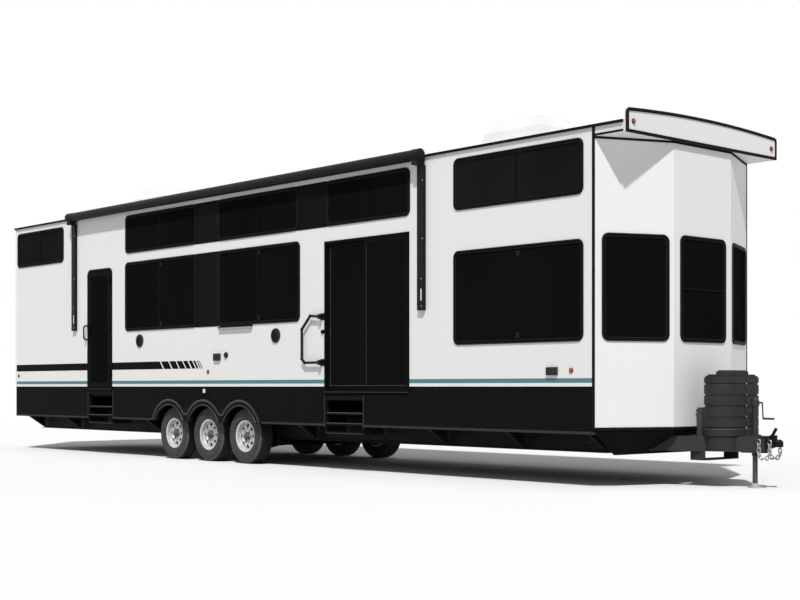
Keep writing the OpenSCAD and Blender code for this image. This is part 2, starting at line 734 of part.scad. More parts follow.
// Frames: a flange on the wall, a sleeve through it, and the bars
bar_back = 3;
bar_t = win_proud - bar_back - run_gap;
module window_frame(w) translate([w[1], 0, w[3]]) {
    width = w[2] - w[1];
    slab(-win_proud, win_proud) difference() {
        rrect(width, w[4], win_r);
        translate([win_flange, win_flange])
            rrect(width - 2 * win_flange, w[4] - 2 * win_flange, win_r - win_flange);
    }
    slab(0, wall_t) difference() {
        translate([win_lap + run_gap, win_lap + run_gap])
            rrect(width - 2 * win_lap - 2 * run_gap, w[4] - 2 * win_lap - 2 * run_gap,
                win_r - win_lap - run_gap);
        translate([win_lap + sleeve_t, win_lap + sleeve_t])
            rrect(width - 2 * win_lap - 2 * sleeve_t, w[4] - 2 * win_lap - 2 * sleeve_t,
                win_r - win_lap - sleeve_t);
    }
    if (w[5]) slab(-win_proud + bar_back, bar_t)
        translate([width / 2 - mullion_w / 2, win_flange - tiny])
            square([mullion_w, w[4] - 2 * win_flange + 2 * tiny]);
    if (w[6]) slab(-win_proud + bar_back, bar_t)
        translate([win_flange - tiny, w[4] / 2 - mullion_w / 2])
            square([width - 2 * win_flange + 2 * tiny, mullion_w]);
}

module window_frames() color(BLACK) {
    for (w = WINDOWS) on_face(w[0]) window_frame(w);
    on_face(RIGHT) for (b = BANDS) translate([b[0], 0, b[2]])
        slab(-win_proud + 6, win_proud - 6) square([b[1] - b[0], b[3]]);
}

module window_panes() color(GLASS) for (w = WINDOWS) on_face(w[0])
    translate([w[1] + win_lap + sleeve_t + run_gap, 0, w[3] + win_lap + sleeve_t + run_gap])
        slab(pane_back, pane_t) rrect(w[2] - w[1] - 2 * (win_lap + sleeve_t + run_gap),
            w[4] - 2 * (win_lap + sleeve_t + run_gap), win_r - win_lap - sleeve_t - run_gap);

// Entry door: its frame with three hinge knuckles, and the glazed leaf
hinge_y = -win_proud - 8;
hinge_d = 14;
knuckle_h = 70;
door_r = 90;
leaf_w = door_w - 2 * (door_rim + door_gap);
leaf_h = door_h - 2 * (door_rim + door_gap);
leaf_x = door_x + door_rim + door_gap;
leaf_z = door_z + door_rim + door_gap;
hinge_x = leaf_x + leaf_w + door_gap / 2;
HINGE_ZS = [leaf_z + 160, leaf_z + leaf_h / 2, leaf_z + leaf_h - 200];

module entry_door_frame() color(BLACK) on_face(RIGHT) {
    slab(-win_proud, win_proud) difference() {
        translate([door_x, door_z]) arched(door_w, door_h, door_r);
        translate([door_x + door_rim, door_z + door_rim])
            arched(door_w - 2 * door_rim, door_h - 2 * door_rim, door_r - door_rim);
    }
    slab(0, wall_t) difference() {
        translate([door_x + win_lap + run_gap, door_z])
            arched(door_w - 2 * (win_lap + run_gap), door_h - win_lap - run_gap,
                door_r - win_lap - run_gap);
        translate([door_x + door_rim, door_z + door_rim])
            arched(door_w - 2 * door_rim, door_h - 2 * door_rim, door_r - door_rim);
    }
    for (z = HINGE_ZS) {
        translate([hinge_x, hinge_y, z + knuckle_h / 2 + run_gap]) cylinder(d = hinge_d, h = knuckle_h);
        translate([hinge_x, hinge_y - hinge_d / 2, z + knuckle_h / 2 + run_gap])
            cube([door_gap / 2 + 12, hinge_d / 2 - hinge_y - win_proud, knuckle_h]);
    }
}

module entry_door() color(BLACK) on_face(RIGHT) {
    slab(-win_proud, leaf_t) difference() {
        translate([leaf_x, leaf_z]) arched(leaf_w, leaf_h, door_r - door_rim - door_gap);
        translate([leaf_x + 70, leaf_z + 70]) rrect(leaf_w - 140, leaf_h - 140, 40);
    }
    slab(-win_proud + 8, pane_t)
        translate([leaf_x + 70 + run_gap, leaf_z + 70 + run_gap])
            rrect(leaf_w - 140 - 2 * run_gap, leaf_h - 140 - 2 * run_gap, 40 - run_gap);
    for (z = HINGE_ZS) {
        translate([hinge_x, hinge_y, z - knuckle_h / 2]) cylinder(d = hinge_d, h = knuckle_h);
        translate([hinge_x - 26, hinge_y - hinge_d / 2, z - knuckle_h / 2])
            cube([26, 7, knuckle_h]);
        translate([hinge_x - 26, hinge_y - hinge_d / 2, z - knuckle_h / 2])
            cube([16, hinge_d / 2 - hinge_y - win_proud, knuckle_h]);
    }
    translate([leaf_x + 20, -win_proud - 26, leaf_z + 0.46 * leaf_h]) cube([36, 26, 110]);
}

// Patio door: frame, fixed pane in front, sliding panel behind it
track_t = 26;
fixed_y = -10;
slide_gap = 5;
mid_x = patio_x + patio_w / 2;
stile_w = 52;
panel_z = patio_z + door_rim + run_gap;
panel_h = patio_h - 2 * door_rim - run_gap - 4;
slide_travel = patio_w / 2 - door_rim - stile_w;
module patio_panel(x, w, y, z, h) translate([x, 0, z]) {
    slab(y, track_t - slide_gap) difference() {
        square([w, h]);
        translate([stile_w, stile_w]) square([w - 2 * stile_w, h - 2 * stile_w]);
    }
    slab(y + 8, pane_t) translate([stile_w, stile_w]) square([w - 2 * stile_w, h - 2 * stile_w]);
}

module patio_door_frame() color(BLACK) on_face(RIGHT) {
    slab(-win_proud, win_proud + wall_t) difference() {
        translate([patio_x + win_lap + run_gap, patio_z])
            square([patio_w - 2 * (win_lap + run_gap), patio_h - win_lap - run_gap]);
        translate([patio_x + door_rim, patio_z + door_rim])
            square([patio_w - 2 * door_rim, patio_h - 2 * door_rim]);
    }
    slab(-win_proud, win_proud) difference() {
        translate([patio_x, patio_z]) square([patio_w, patio_h]);
        translate([patio_x + door_rim, patio_z + door_rim])
            square([patio_w - 2 * door_rim, patio_h - 2 * door_rim]);
    }
    patio_panel(mid_x - stile_w / 2, patio_w / 2 - door_rim + stile_w / 2, fixed_y,
        patio_z + door_rim, patio_h - 2 * door_rim);
}

module patio_slider() color(BLACK) on_face(RIGHT)
    patio_panel(patio_x + door_rim + slide_gap, patio_w / 2 - door_rim - slide_gap + stile_w / 2,
        fixed_y + track_t, panel_z, panel_h);

// Tube in the plane of X and Z through points, with a ball at each corner
function heading(a, b) = atan2(b[1] - a[1], b[0] - a[0]);
ball_in = 8;
module balled_tube(p, d, ball_d) rotate([90, 0, 0]) {
    for (i = [0 : len(p) - 2]) {
        first = i == 0 ? 0 : ball_in;
        last = i == len(p) - 2 ? 0 : ball_in;
        translate(p[i]) rotate(heading(p[i], p[i + 1])) rotate([0, 90, 0]) translate([0, 0, first])
            cylinder(d = d, h = norm(p[i + 1] - p[i]) - first - last);
    }
    for (i = [1 : len(p) - 2]) translate(p[i]) sphere(d = ball_d);
}

// Fold-away assist handle by the patio door. Columns: x from its axis, height
handle_x = patio_x - 48;
handle_y = -46;
handle_d = 32;
handle_low_z = 1296;
handle_top_z = 1850;
HANDLE = [
    [0, handle_top_z], [-180, handle_top_z + 15], [-345, handle_top_z - 145],
    [-345, handle_low_z + 46], [-285, handle_low_z], [0, handle_low_z]
];
boss_d = 42;
boss_h = 44;
lug_t = 8;
bracket_zs = [handle_top_z, handle_low_z];
module assist_handle() color(BLACK) on_face(RIGHT) translate([handle_x, handle_y, 0]) {
    balled_tube(HANDLE, handle_d, handle_d + 8);
    for (z = bracket_zs) translate([0, 0, z - boss_h / 2]) cylinder(d = boss_d, h = boss_h);
}

// Grab handle at the entry door. Columns: distance from the wall, height
GRIP = [[0, 1715], [38, 1715], [58, 1745], [58, 1890], [38, 1920], [0, 1920]];
grip_d = 22;
grip_gap = 22;

// Small covers on the side. Columns: distance from the rear wall, lower edge,
// width, height, how far they stand out of the wall, how far they reach in
COVERS = [
    [axle_mid_x + 252, 1348, 138, 94, 30, 0],
    [body_len - 616, 1120, 138, 82, 30, 0],
    [axle_mid_x, 918, 58, 56, 20, skirt_inset],
    [low_win_x + 43, low_row_z - 50, 730, 40, 36, 0]
];
// Round vents and a round socket. Columns: distance from the rear wall, height,
// diameter at the wall, diameter in front
VENTS = [[3811, 1660, 182, 120], [7032, 1648, 182, 120], [axle_mid_x + 522, 1419, 76, 56]];
// Hatches and inlets on the far side, with the same columns as the covers
FAR_COVERS = [
    [2300, 1160, 460, 620, 12, 0], [7600, 1080, 420, 420, 10, 0],
    [8700, 1110, 150, 150, 30, 0], [8950, 1110, 200, 180, 14, 0]
];
module covers(list) for (b = list) translate([b[0], -b[4], b[1]]) cube([b[2], b[4] + b[5], b[3]]);
module side_fittings() color(BLACK) {
    on_face(RIGHT) {
        for (z = bracket_zs) for (s = SIDES)
            translate([handle_x - boss_d / 2, handle_y - boss_d / 2,
                z + s * (boss_h / 2 + run_gap + lug_t / 2) - lug_t / 2])
                cube([boss_d, boss_d / 2 - handle_y, lug_t]);
        for (v = VENTS) translate([v[0], 0, v[1]]) rotate([90, 0, 0]) {
            cylinder(d = v[2], h = 14);
            cylinder(d = v[3], h = 28);
        }
        covers(COVERS);
        translate([door_x - grip_gap, 0, 0]) rotate(-90) balled_tube(GRIP, grip_d, grip_d + 8);
    }
    on_face(LEFT) covers(FAR_COVERS);
}

// Rolled awning on the wall, between two upright arms. Each end turns in a round
// casting that stands on the head of an arm
awning_len = patio_x + patio_w + awning_past - awning_x;
roller_z = edge_z - 6;
arm_w = 96;
arm_d = 48;
cast_d = 134;
cast_w = 118;
cast_drop = 112;
rail_proud = 22;
module awning_casting() difference() {
    union() {
        translate([-cast_w / 2, 0, 0]) rotate([0, 90, 0]) cylinder(d = cast_d, h = cast_w);
        translate([-arm_w / 2, -0.3 * cast_d, -cast_drop])
            cube([arm_w, roller_out + 0.3 * cast_d, cast_drop]);
    }
    translate([-cast_w, roller_out - rail_proud - tiny, -cast_w - cast_d])
        cube([2 * cast_w, cast_d, 2 * (cast_w + cast_d)]);
}
module awning_roller() color(BLACK) on_face(RIGHT) translate([awning_x, -roller_out, roller_z]) {
    rotate([0, 90, 0]) cylinder(d = roller_d, h = awning_len);
    for (x = [0, awning_len]) translate([x, 0, 0]) awning_casting();
}

module awning_arms() color(BLACK) on_face(RIGHT) for (x = [0, awning_len])
    translate([awning_x + x - arm_w / 2, -arm_d, arm_low_z])
        cube([arm_w, arm_d, roller_z - cast_drop - arm_low_z]);

// Folded steps: two cheeks, two treads and a cross bar at the foot
tread_d = 225;
tread_t = 32;
cheek_t = 8;
module entry_steps() color(BLACK) on_face(RIGHT) for (s = STEPS) translate([s[0], 0, 0]) {
    cheek_d = half_w - rail_out - skirt_inset - run_gap;
    for (x = [0, step_w - cheek_t]) translate([x, skirt_inset, s[1]])
        cube([cheek_t, cheek_d, rail_top_z - s[1]]);
    for (x = [0, step_w - cheek_t]) translate([x, skirt_inset, 0]) {
        translate([0, 0, rail_top_z - tiny]) cube([cheek_t, 60, floor_low_z - rail_top_z + tiny - run_gap]);
        translate([0, 0, floor_low_z - tiny])
            cube([cheek_t, skirt_t - run_gap, s[2] - floor_low_z + tiny]);
    }
    translate([0, skirt_inset, s[2] - 50]) cube([step_w, skirt_t - run_gap, 50]);
    for (z = [s[1] + 225, s[1] + 100]) translate([cheek_t - tiny, skirt_inset + 10, z])
        cube([step_w - 2 * cheek_t + 2 * tiny, tread_d, tread_t]);
    translate([cheek_t - tiny, skirt_inset + 4, s[1]]) cube([step_w - 2 * cheek_t + 2 * tiny, 30, 24]);
}

// Outline of a lid with sloped sides, from its half width, foot and height
function lid_side(half, foot, h) = [
    [-half, 0], [-half, foot], [-0.93 * half, 0.6 * h], [-0.69 * half, h],
    [0.69 * half, h], [0.93 * half, 0.6 * h], [half, foot], [half, 0]
];
module lid_form(len, wid, foot, h) intersection() {
    slab(-wid / 2 - tiny, wid + 2 * tiny) polygon(lid_side(len / 2, foot, h));
    along_x(-len / 2 - tiny, len + 2 * tiny) polygon(lid_side(wid / 2, foot, h));
}

// Roof units and vents. Values: distances of their middles from the rear wall
AIR_UNITS = [2500, 10200];
air_len = 940;
air_wid = 720;
air_h = 344;
crown_z = edge_z + roof_crown;
air_foot = 18;
module air_conditioners() color(WHITE) place() difference() {
    for (x = AIR_UNITS) translate([x, 0, crown_z - air_foot])
        lid_form(air_len, air_wid, 70, air_h + air_foot);
    roof_form(AIR_UNITS[0] - air_len, AIR_UNITS[1] - AIR_UNITS[0] + 2 * air_len);
}

ROOF_VENTS = [1300, 4600, 6300, 8500];
vent_w = 400;
vent_h = 116;
module roof_vents() color(WHITE) place() difference() {
    for (x = ROOF_VENTS) translate([x, 0, crown_z - air_foot]) {
        translate([-vent_w / 2, -vent_w / 2, 0]) cube([vent_w, vent_w, 0.6 * vent_h]);
        translate([0, 0, 0.6 * vent_h - tiny]) lid_form(vent_w + 30, vent_w + 30, 24, 0.4 * vent_h + tiny);
    }
    roof_form(ROOF_VENTS[0] - vent_w, ROOF_VENTS[3] - ROOF_VENTS[0] + 2 * vent_w);
}

trim_t = 8;
trim_h = 26;
corner_w = 32;
foot_trim_h = 28;
board_border = 22;
module wall_trim() color(BLACK) {
    place() {
        for (s = SIDES) scale([1, s, 1]) translate([0, half_w, edge_z - trim_h])
            cube([body_len + hood_len - board_t, rail_proud, trim_h]);
        translate([-rail_proud, -half_w - rail_proud, edge_z - trim_h])
            cube([rail_proud, body_w + 2 * rail_proud, trim_h]);
        for (s = SIDES) scale([1, s, 1]) {
            translate([body_len + 6 - corner_w, half_w, bay_low_z])
                cube([corner_w, trim_t, edge_z - trim_h - bay_low_z]);
            translate([0, half_w, skirt_top_z]) cube([trim_h, trim_t, edge_z - trim_h - skirt_top_z]);
            translate([body_len, half_w, soffit_z]) cube([hood_len - board_t, trim_t, 0.8 * trim_h]);
        }
        along_x(body_len + hood_len, trim_t) difference() {
            board_outline(0);
            board_outline(board_border);
        }
        for (z = [[soffit_z - board_border, board_border], [bay_low_z, foot_trim_h]])
            translate([0, 0, z[0]]) linear_extrude(z[1]) difference() {
                polygon(bay_plan(-trim_t));
                polygon(concat([[body_len - tiny, -half_w]], bay_plan(0), [[body_len - tiny, half_w]]));
                translate([0, -body_w]) square([body_len + 6, 2 * body_w]);
            }
    }
}

// Marker lamps. Columns: face, place along it, height
MARKERS = [
    [RIGHT, 102, 1177], [RIGHT, axle_mid_x + 98, 1204], [RIGHT, body_len - 298, 1167],
    [LEFT, 298, 1167], [LEFT, body_len - axle_mid_x - 98, 1204], [LEFT, body_len - 102, 1177],
    [REAR, half_w - 180, edge_z - 60], [REAR, half_w, edge_z - 60], [REAR, half_w + 180, edge_z - 60]
];
module marker() rotate([90, 0, 0]) {
    cylinder(d = 52, h = 9);
    translate([0, 0, 9]) cylinder(d1 = 46, d2 = 30, h = 10);
}
module lamps() color(AMBER) {
    for (m = MARKERS) on_face(m[0]) translate([m[1], 0, m[2]]) marker();
    for (s = SIDES) place() translate([body_len + hood_len, s * (half_w - 115), edge_z - 10])
        rotate([0, 0, 90]) marker();
    color(RED) on_face(REAR) for (s = SIDES)
        translate([half_w + s * 1080 - 90, -26, 1120]) cube([180, 26, 210]);
}

// Outline of half a tyre in radius and distance from its middle: the bead beside
// the rim's flange, the side wall, and a round shoulder
shoulder_r = 22;
flange_r = rim_d / 2 + 17;
bead_in = rim_w / 2 - 13 - run_gap;
function tyre_half(s) = [for (p = [
        [rim_d / 2, bead_in],
        [flange_r + run_gap, bead_in + 6],
        [flange_r + 5, bead_in + 15],
        [rim_d / 2 + 44, tyre_w / 2 - 4],
        [rim_d / 2 + 80, tyre_w / 2],
        [rim_d / 2 + 112, tyre_w / 2 - 5]]) [p[0], s * p[1]]];
function shoulder(s) = [for (a = [s > 0 ? 78 : 0 : s > 0 ? -13 : 13 : s > 0 ? 0 : 78])
        [tyre_od / 2 - shoulder_r + shoulder_r * cos(a),
            s * (tyre_w / 2 - 14 - shoulder_r + shoulder_r * sin(a))]];
module at_wheel(w) place() translate([axle_mid_x + w[2] * axle_pitch, w[1] * tyre_y, wheel_z])
    rotate([w[1] < 0 ? 90 : -90, 0, 0]) children();

module tyre(w) color([0.1, 0.1, 0.1]) at_wheel(w) rotate_extrude($fn = 96)
    polygon(concat(tyre_half(1), shoulder(1), shoulder(-1),
        [for (i = [5 : -1 : 0]) tyre_half(-1)[i]]));

// Pressed rim, seen from outside: barrel with flanges, dished disc with round
// holes, hub bore and cap. Local Z points outwards
cap_lip = 8;
module rim(w) color(SILVER) at_wheel(w) {
    out = rim_w / 2;
    seat = rim_d / 2 - run_gap;
    rotate_extrude($fn = 96) polygon([
        [flange_r, out], [flange_r, out - 7], [seat, out - 13], [seat, 30], [seat - 20, 14],
        [seat - 20, -34], [seat, -50], [seat, 13 - out], [flange_r, 7 - out], [flange_r, -out],
        [seat - 6, 7 - out], [seat - 6, -47], [seat - 26, -32], [seat - 26, 12],
        [seat - 6, 28], [seat - 6, out - 7]]);
    difference() {
        rotate_extrude($fn = 96) polygon([
            [seat - 5, 40], [seat - 5, 28], [seat - 24, 28], [150, 38], [100, out - disc_in - disc_t + 10],
            [80, out - disc_in - disc_t], [hub_d / 2, out - disc_in - disc_t],
            [hub_d / 2, out - disc_in], [80, out - disc_in], [104, out - disc_in + 10],
            [146, 46], [seat - 24, 40]]);
        for (i = [0 : rim_holes - 1]) rotate(i * 360 / rim_holes)
            translate([134, 0, 0]) cylinder(d = 44, h = rim_w, center = true);
    }
    rotate_extrude() translate([0, out - disc_in]) polygon([[0, run_gap], [hub_d / 2, run_gap],
        [hub_d / 2, 0], [hub_d / 2 + cap_lip, 0], [hub_d / 2 + 5, disc_in - 14],
        [hub_d / 2 - 6, disc_in - 4], [20, disc_in + 1], [0, disc_in + 1]]);
}

roof();
front_hood();
side_wall_right();
side_wall_left();
rear_wall();
front_wall();
floor();
skirt_right();
skirt_left();
skirt_rear();
front_apron();
main_rails();
cross_members();
underbelly();
tongue_frame();
coupler();
safety_chains();
tongue_jack();
gas_cover();
gas_cover_lid();
battery_box();
axles();
leaf_springs();
fenders();
window_frames();
window_panes();
entry_door_frame();
patio_door_frame();
awning_roller();
awning_arms();
entry_steps();
air_conditioners();
roof_vents();
wall_trim();
lamps();
side_fittings();
entry_door();
patio_slider();
assist_handle();
for (w = WHEELS) {
    tyre(w);
    rim(w);
}
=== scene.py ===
# %% [markdown]
# # A long travel trailer
# A white body on three axles with a faceted front, a row of doors and windows on
# one side, and a tongue that ends in a ball coupler. The solids arrive ready made.
# This lesson dresses them: camera and light first, then finishes, then the small
# parts that repeat, such as tread blocks, nuts and snaps.

# %% Load the fixed frame
import math

import bmesh
import bpy
from mathutils import Matrix, Vector


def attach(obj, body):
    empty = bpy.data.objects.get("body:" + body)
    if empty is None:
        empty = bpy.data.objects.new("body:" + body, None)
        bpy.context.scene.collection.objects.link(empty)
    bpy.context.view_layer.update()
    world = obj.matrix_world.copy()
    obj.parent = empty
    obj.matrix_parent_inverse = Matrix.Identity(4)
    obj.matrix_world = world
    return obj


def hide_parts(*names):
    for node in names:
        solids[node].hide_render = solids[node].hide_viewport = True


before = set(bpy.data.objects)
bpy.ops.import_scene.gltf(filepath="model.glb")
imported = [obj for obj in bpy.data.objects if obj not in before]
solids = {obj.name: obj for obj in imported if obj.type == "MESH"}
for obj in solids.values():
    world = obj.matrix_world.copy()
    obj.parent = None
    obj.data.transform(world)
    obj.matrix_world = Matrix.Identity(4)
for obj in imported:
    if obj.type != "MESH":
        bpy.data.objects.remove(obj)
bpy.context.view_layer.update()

# %% [markdown]
# ## Where things are
# The frame's origin lies under the middle of the trailer. A builder measures such
# a body from its rear wall, so one helper turns those distances into the frame's
# X. Each flat face gets a matrix: X runs along it as seen from outside, and -Y
# points outwards.

# %% Distances and faces
REAR_X = -6.755
BODY_LEN, HALF_W, BAY_DEPTH, BAY_HALF, BOARD_X = 12.22, 1.295, 0.355, 0.49, 12.61
BAY_TURN = math.atan2(HALF_W - BAY_HALF, BAY_DEPTH)


def from_rear(x):
    return x + REAR_X


def face_matrix(x, y, turn):
    return Matrix.Translation((from_rear(x), y, 0)) @ Matrix.Rotation(turn, 4, "Z")


DOOR_SIDE = face_matrix(0, -HALF_W, 0)
BAY_RIGHT = face_matrix(BODY_LEN, -HALF_W, BAY_TURN)
BAY_FRONT = face_matrix(BODY_LEN + BAY_DEPTH, -BAY_HALF, math.pi / 2)
BAY_LEFT = face_matrix(BODY_LEN + BAY_DEPTH, BAY_HALF, math.pi - BAY_TURN)
OFF_SIDE = face_matrix(BODY_LEN, HALF_W, math.pi)
REAR_FACE = face_matrix(0, HALF_W, -math.pi / 2)
print("bay facets turn by", round(math.degrees(BAY_TURN), 1), "degrees")

# %% [markdown]
# ## Camera
# The photograph was taken from ahead of the door side, at standing height, with
# the camera held level. A level camera keeps upright lines upright. Its horizon
# lies a little below the middle of the picture, and the lens shift moves it there.

# %% Place the camera
EYE, LOOK = (14.389, -11.914, 1.006), (-0.7427, 0.6695, 0)
FOCAL_MM, HORIZON_PX, PICTURE_PX = 62.87, 86.5, 800

eye_data = bpy.data.cameras.new("eye")
eye_data.lens, eye_data.sensor_width = FOCAL_MM, 36
eye_data.shift_y = HORIZON_PX / PICTURE_PX
eye = bpy.data.objects.new("eye", eye_data)
bpy.context.collection.objects.link(eye)
eye.location = EYE
eye.rotation_euler = Vector(LOOK).to_track_quat("-Z", "Y").to_euler()
bpy.context.scene.camera = eye
print("camera at", tuple(round(v, 2) for v in eye.location))

# %% [markdown]
# ## Shader sums as plain sums
# A material is a network of nodes, which reads badly as code. A small class wraps
# one socket, so that `grime * 0.2 + 0.5` adds the Math nodes by itself. A second
# class keeps one material's network and hands out the nodes.


# %% Wrap a socket
class Wire:
    def __init__(self, bench, socket):
        self.bench, self.socket = bench, socket

    def maths(self, operation, *terms):
        return self.bench.add("ShaderNodeMath", {"operation": operation}, dict(enumerate(terms)))

    def __add__(self, other): return self.maths("ADD", self, other)
    def __radd__(self, other): return self.maths("ADD", other, self)
    def __sub__(self, other): return self.maths("SUBTRACT", self, other)
    def __rsub__(self, other): return self.maths("SUBTRACT", other, self)
    def __mul__(self, other): return self.maths("MULTIPLY", self, other)
    def __rmul__(self, other): return self.maths("MULTIPLY", other, self)
    def __truediv__(self, other): return self.maths("DIVIDE", self, other)
    def __pow__(self, other): return self.maths("POWER", self, other)

    def absolute(self): return self.maths("ABSOLUTE", self)
    def either(self, other): return self.maths("MAXIMUM", self, other)
    def wave(self): return self.maths("SINE", self)
    def folded(self, width): return self.maths("PINGPONG", self, width)

    def above(self, edge, soft=0.001):
        return self.bench.add("ShaderNodeMapRange", {"interpolation_type": "SMOOTHSTEP"},
                              {"Value": self, "From Min": edge - soft, "From Max": edge + soft})

    def between(self, low, high, soft=0.001):
        return self.above(low, soft) * (1 - self.above(high, soft))


# %% Keep one material's network
class Bench:
    def __init__(self, name):
        self.material = bpy.data.materials.new(name)
        self.material.use_nodes = True
        self.tree = self.material.node_tree
        self.tree.nodes.clear()
        self.spot = self.add("ShaderNodeTexCoord", out="Object")
        self.x, self.y, self.z = (self.add("ShaderNodeSeparateXYZ", sockets={0: self.spot}, out=i)
                                  for i in range(3))

    def add(self, kind, settings=None, sockets=None, out=0):
        node = self.tree.nodes.new(kind)
        for name, value in (settings or {}).items():
            if name == "stops":
                while len(node.color_ramp.elements) < len(value):
                    node.color_ramp.elements.new(0.5)
                for stop, (place, shade) in zip(node.color_ramp.elements, value):
                    stop.position, stop.color = place, (shade, shade, shade, 1)
            elif name == "ramp":
                node.color_ramp.interpolation = value
            else:
                setattr(node, name, value)
        for name, value in (sockets or {}).items():
            if isinstance(value, Wire):
                self.tree.links.new(value.socket, node.inputs[name])
            else:
                node.inputs[name].default_value = value
        return Wire(self, node.outputs[out])

    def cloud(self, scale, detail=3.0, stretch=(1, 1, 1)):
        place = self.add("ShaderNodeMapping", sockets={"Vector": self.spot, "Scale": stretch})
        return self.add("ShaderNodeTexNoise",
                        sockets={"Vector": place, "Scale": scale, "Detail": detail})

    def mixed(self, share, first, second):
        colours = [c if isinstance(c, Wire) else (*c, 1) for c in (first, second)]
        return self.add("ShaderNodeMix", {"data_type": "RGBA"},
                        {0: share, 6: colours[0], 7: colours[1]}, out=2)

    def done(self, colour, rough, bump=None, depth=0.001, sheen=None, **steady):
        sockets = {"Base Color": colour if isinstance(colour, Wire) else (*colour, 1),
                   "Roughness": rough, **steady}
        if sheen is not None:
            sockets["Specular IOR Level"] = sheen
        if bump is not None:
            sockets["Normal"] = self.add("ShaderNodeBump", sockets={
                "Height": bump, "Distance": depth, "Strength": 1.0})
        return self.shown(self.add("ShaderNodeBsdfPrincipled", sockets=sockets))

    def shown(self, shader):
        sheet = self.tree.nodes.new("ShaderNodeOutputMaterial")
        self.tree.links.new(shader.socket, sheet.inputs["Surface"])
        print("finish", self.material.name, "nodes:", len(self.tree.nodes))
        return self.material


# %% [markdown]
# ## A pale studio
# The floor is a plain pale plane that fades into the white backdrop, so no line
# cuts the picture. The backdrop is only white where the camera, a reflection or
# glass looks at it. As a lamp the same world stays moderate, and colours keep
# their value. One soft sun gives the hood and the awning their shadows.

# %% Floor and backdrop
def floor_finish():
    b = Bench("pale_floor")
    far = b.add("ShaderNodeVectorMath", {"operation": "LENGTH"}, {0: b.spot}, out="Value")
    seen = b.add("ShaderNodeLightPath", out="Is Camera Ray")
    wide = b.add("ShaderNodeMapRange", {"interpolation_type": "SMOOTHSTEP"},
                 {"Value": far, "From Min": 9.0, "From Max": 24.0})
    shown = b.mixed(b.cloud(0.8) * 0.5, (0.90, 0.90, 0.90), (0.87, 0.87, 0.88))
    matt = b.add("ShaderNodeBsdfDiffuse",
                 sockets={"Color": b.mixed(seen, (0.66, 0.66, 0.66), shown)})
    white = b.add("ShaderNodeEmission", sockets={"Color": (1, 1, 1, 1), "Strength": 1.0})
    return b.shown(b.add("ShaderNodeMixShader", sockets={0: wide * seen, 1: matt, 2: white}))


ground = bmesh.new()
bmesh.ops.create_grid(ground, x_segments=8, y_segments=8, size=90)
floor_mesh = bpy.data.meshes.new("studio_floor")
ground.to_mesh(floor_mesh)
studio_floor = bpy.data.objects.new("studio_floor", floor_mesh)
bpy.context.collection.objects.link(studio_floor)
studio_floor.data.materials.append(floor_finish())

# %% World and sun
SKY_AS_LAMP, SKY_SEEN = 0.36, 1.0
SUN_FROM, SUN_POWER, SUN_ANGLE = (0.41, -0.45, 0.79), 2.95, 2.5

world = bpy.data.worlds.new("studio")
bpy.context.scene.world = world
world.use_nodes = True
sky = world.node_tree
sky.nodes.clear()
path = sky.nodes.new("ShaderNodeLightPath")
seen = None
for kind in ("Is Camera Ray", "Is Glossy Ray", "Is Transmission Ray"):
    if seen is None:
        seen = path.outputs[kind]
    else:
        top = sky.nodes.new("ShaderNodeMath")
        top.operation = "MAXIMUM"
        sky.links.new(seen, top.inputs[0])
        sky.links.new(path.outputs[kind], top.inputs[1])
        seen = top.outputs[0]
strength = sky.nodes.new("ShaderNodeMapRange")
sky.links.new(seen, strength.inputs["Value"])
strength.inputs["To Min"].default_value = SKY_AS_LAMP
strength.inputs["To Max"].default_value = SKY_SEEN
glow = sky.nodes.new("ShaderNodeBackground")
glow.inputs["Color"].default_value = (1, 1, 1, 1)
sky.links.new(strength.outputs[0], glow.inputs["Strength"])
leave = sky.nodes.new("ShaderNodeOutputWorld")
sky.links.new(glow.outputs[0], leave.inputs["Surface"])

sun_data = bpy.data.lights.new("soft_sun", "SUN")
sun_data.energy, sun_data.angle = SUN_POWER, math.radians(SUN_ANGLE)
sun = bpy.data.objects.new("soft_sun", sun_data)
bpy.context.collection.objects.link(sun)
sun.rotation_euler = Vector(SUN_FROM).to_track_quat("Z", "Y").to_euler()
bpy.context.scene.view_settings.view_transform = "Standard"
print("sun", SUN_POWER, "world", SKY_AS_LAMP)

# %% [markdown]
# ## White side walls and their stripes
# The walls are smooth gel-coated sheets with film stripes. The stripes follow
# heights, so simple tests on the Z coordinate paint them. The black stripe breaks
# into slanted bars that get thinner. A ramp with hard steps holds their edges,
# read along X after a shear with the height. Only the outer skin takes film, and
# the foot of the wall, behind the skirt, is black.

# %% Gel coat with film stripes
STRIPE_LOW, STRIPE_HIGH, STRIPE_MID = 1.249, 1.357, 1.305
TEAL_LOW, TEAL_HIGH, FOOT_TOP, SHEET_W = 1.042, 1.089, 1.003, 0.61
SKIN, FOOT_IN, CORNER_W = 0.004, 0.036, 0.027
BAR_START, BAR_SPAN, BAR_SLANT, BAR_END = 4.2, 1.3, 0.82, 5.357
# Start, end, sill and height of each film panel
FILM_PANELS = [(5.17, 5.84, 2.93, 0.55), (7.41, 8.12, 2.93, 0.55), (5.17, 5.84, 1.805, 0.995),
               (5.803, 6.533, 1.790, 0.020)]
BAR_EDGES = [4.371, 4.399, 4.585, 4.613, 4.770, 4.798, 4.933, 4.961, 5.067, 5.095,
             5.178, 5.204, 5.254, 5.282, 5.309, 5.334]
# Specular levels: low, because the white world would lift every black
DULL, SATIN = 0.012, 0.08
WHITE, TEAL, FILM = (0.83, 0.83, 0.82), (0.105, 0.235, 0.262), (0.0058, 0.0056, 0.0054)


def gel_coat(b):
    patchy = b.cloud(0.9, 4.0)
    rain = b.cloud(3.0, 5.0, (5, 5, 0.5))
    low = 1 - b.z.above(1.6, 0.9)
    grime = patchy * 0.06 + rain * low * 0.10
    return b.mixed(grime, WHITE, (0.62, 0.61, 0.58))


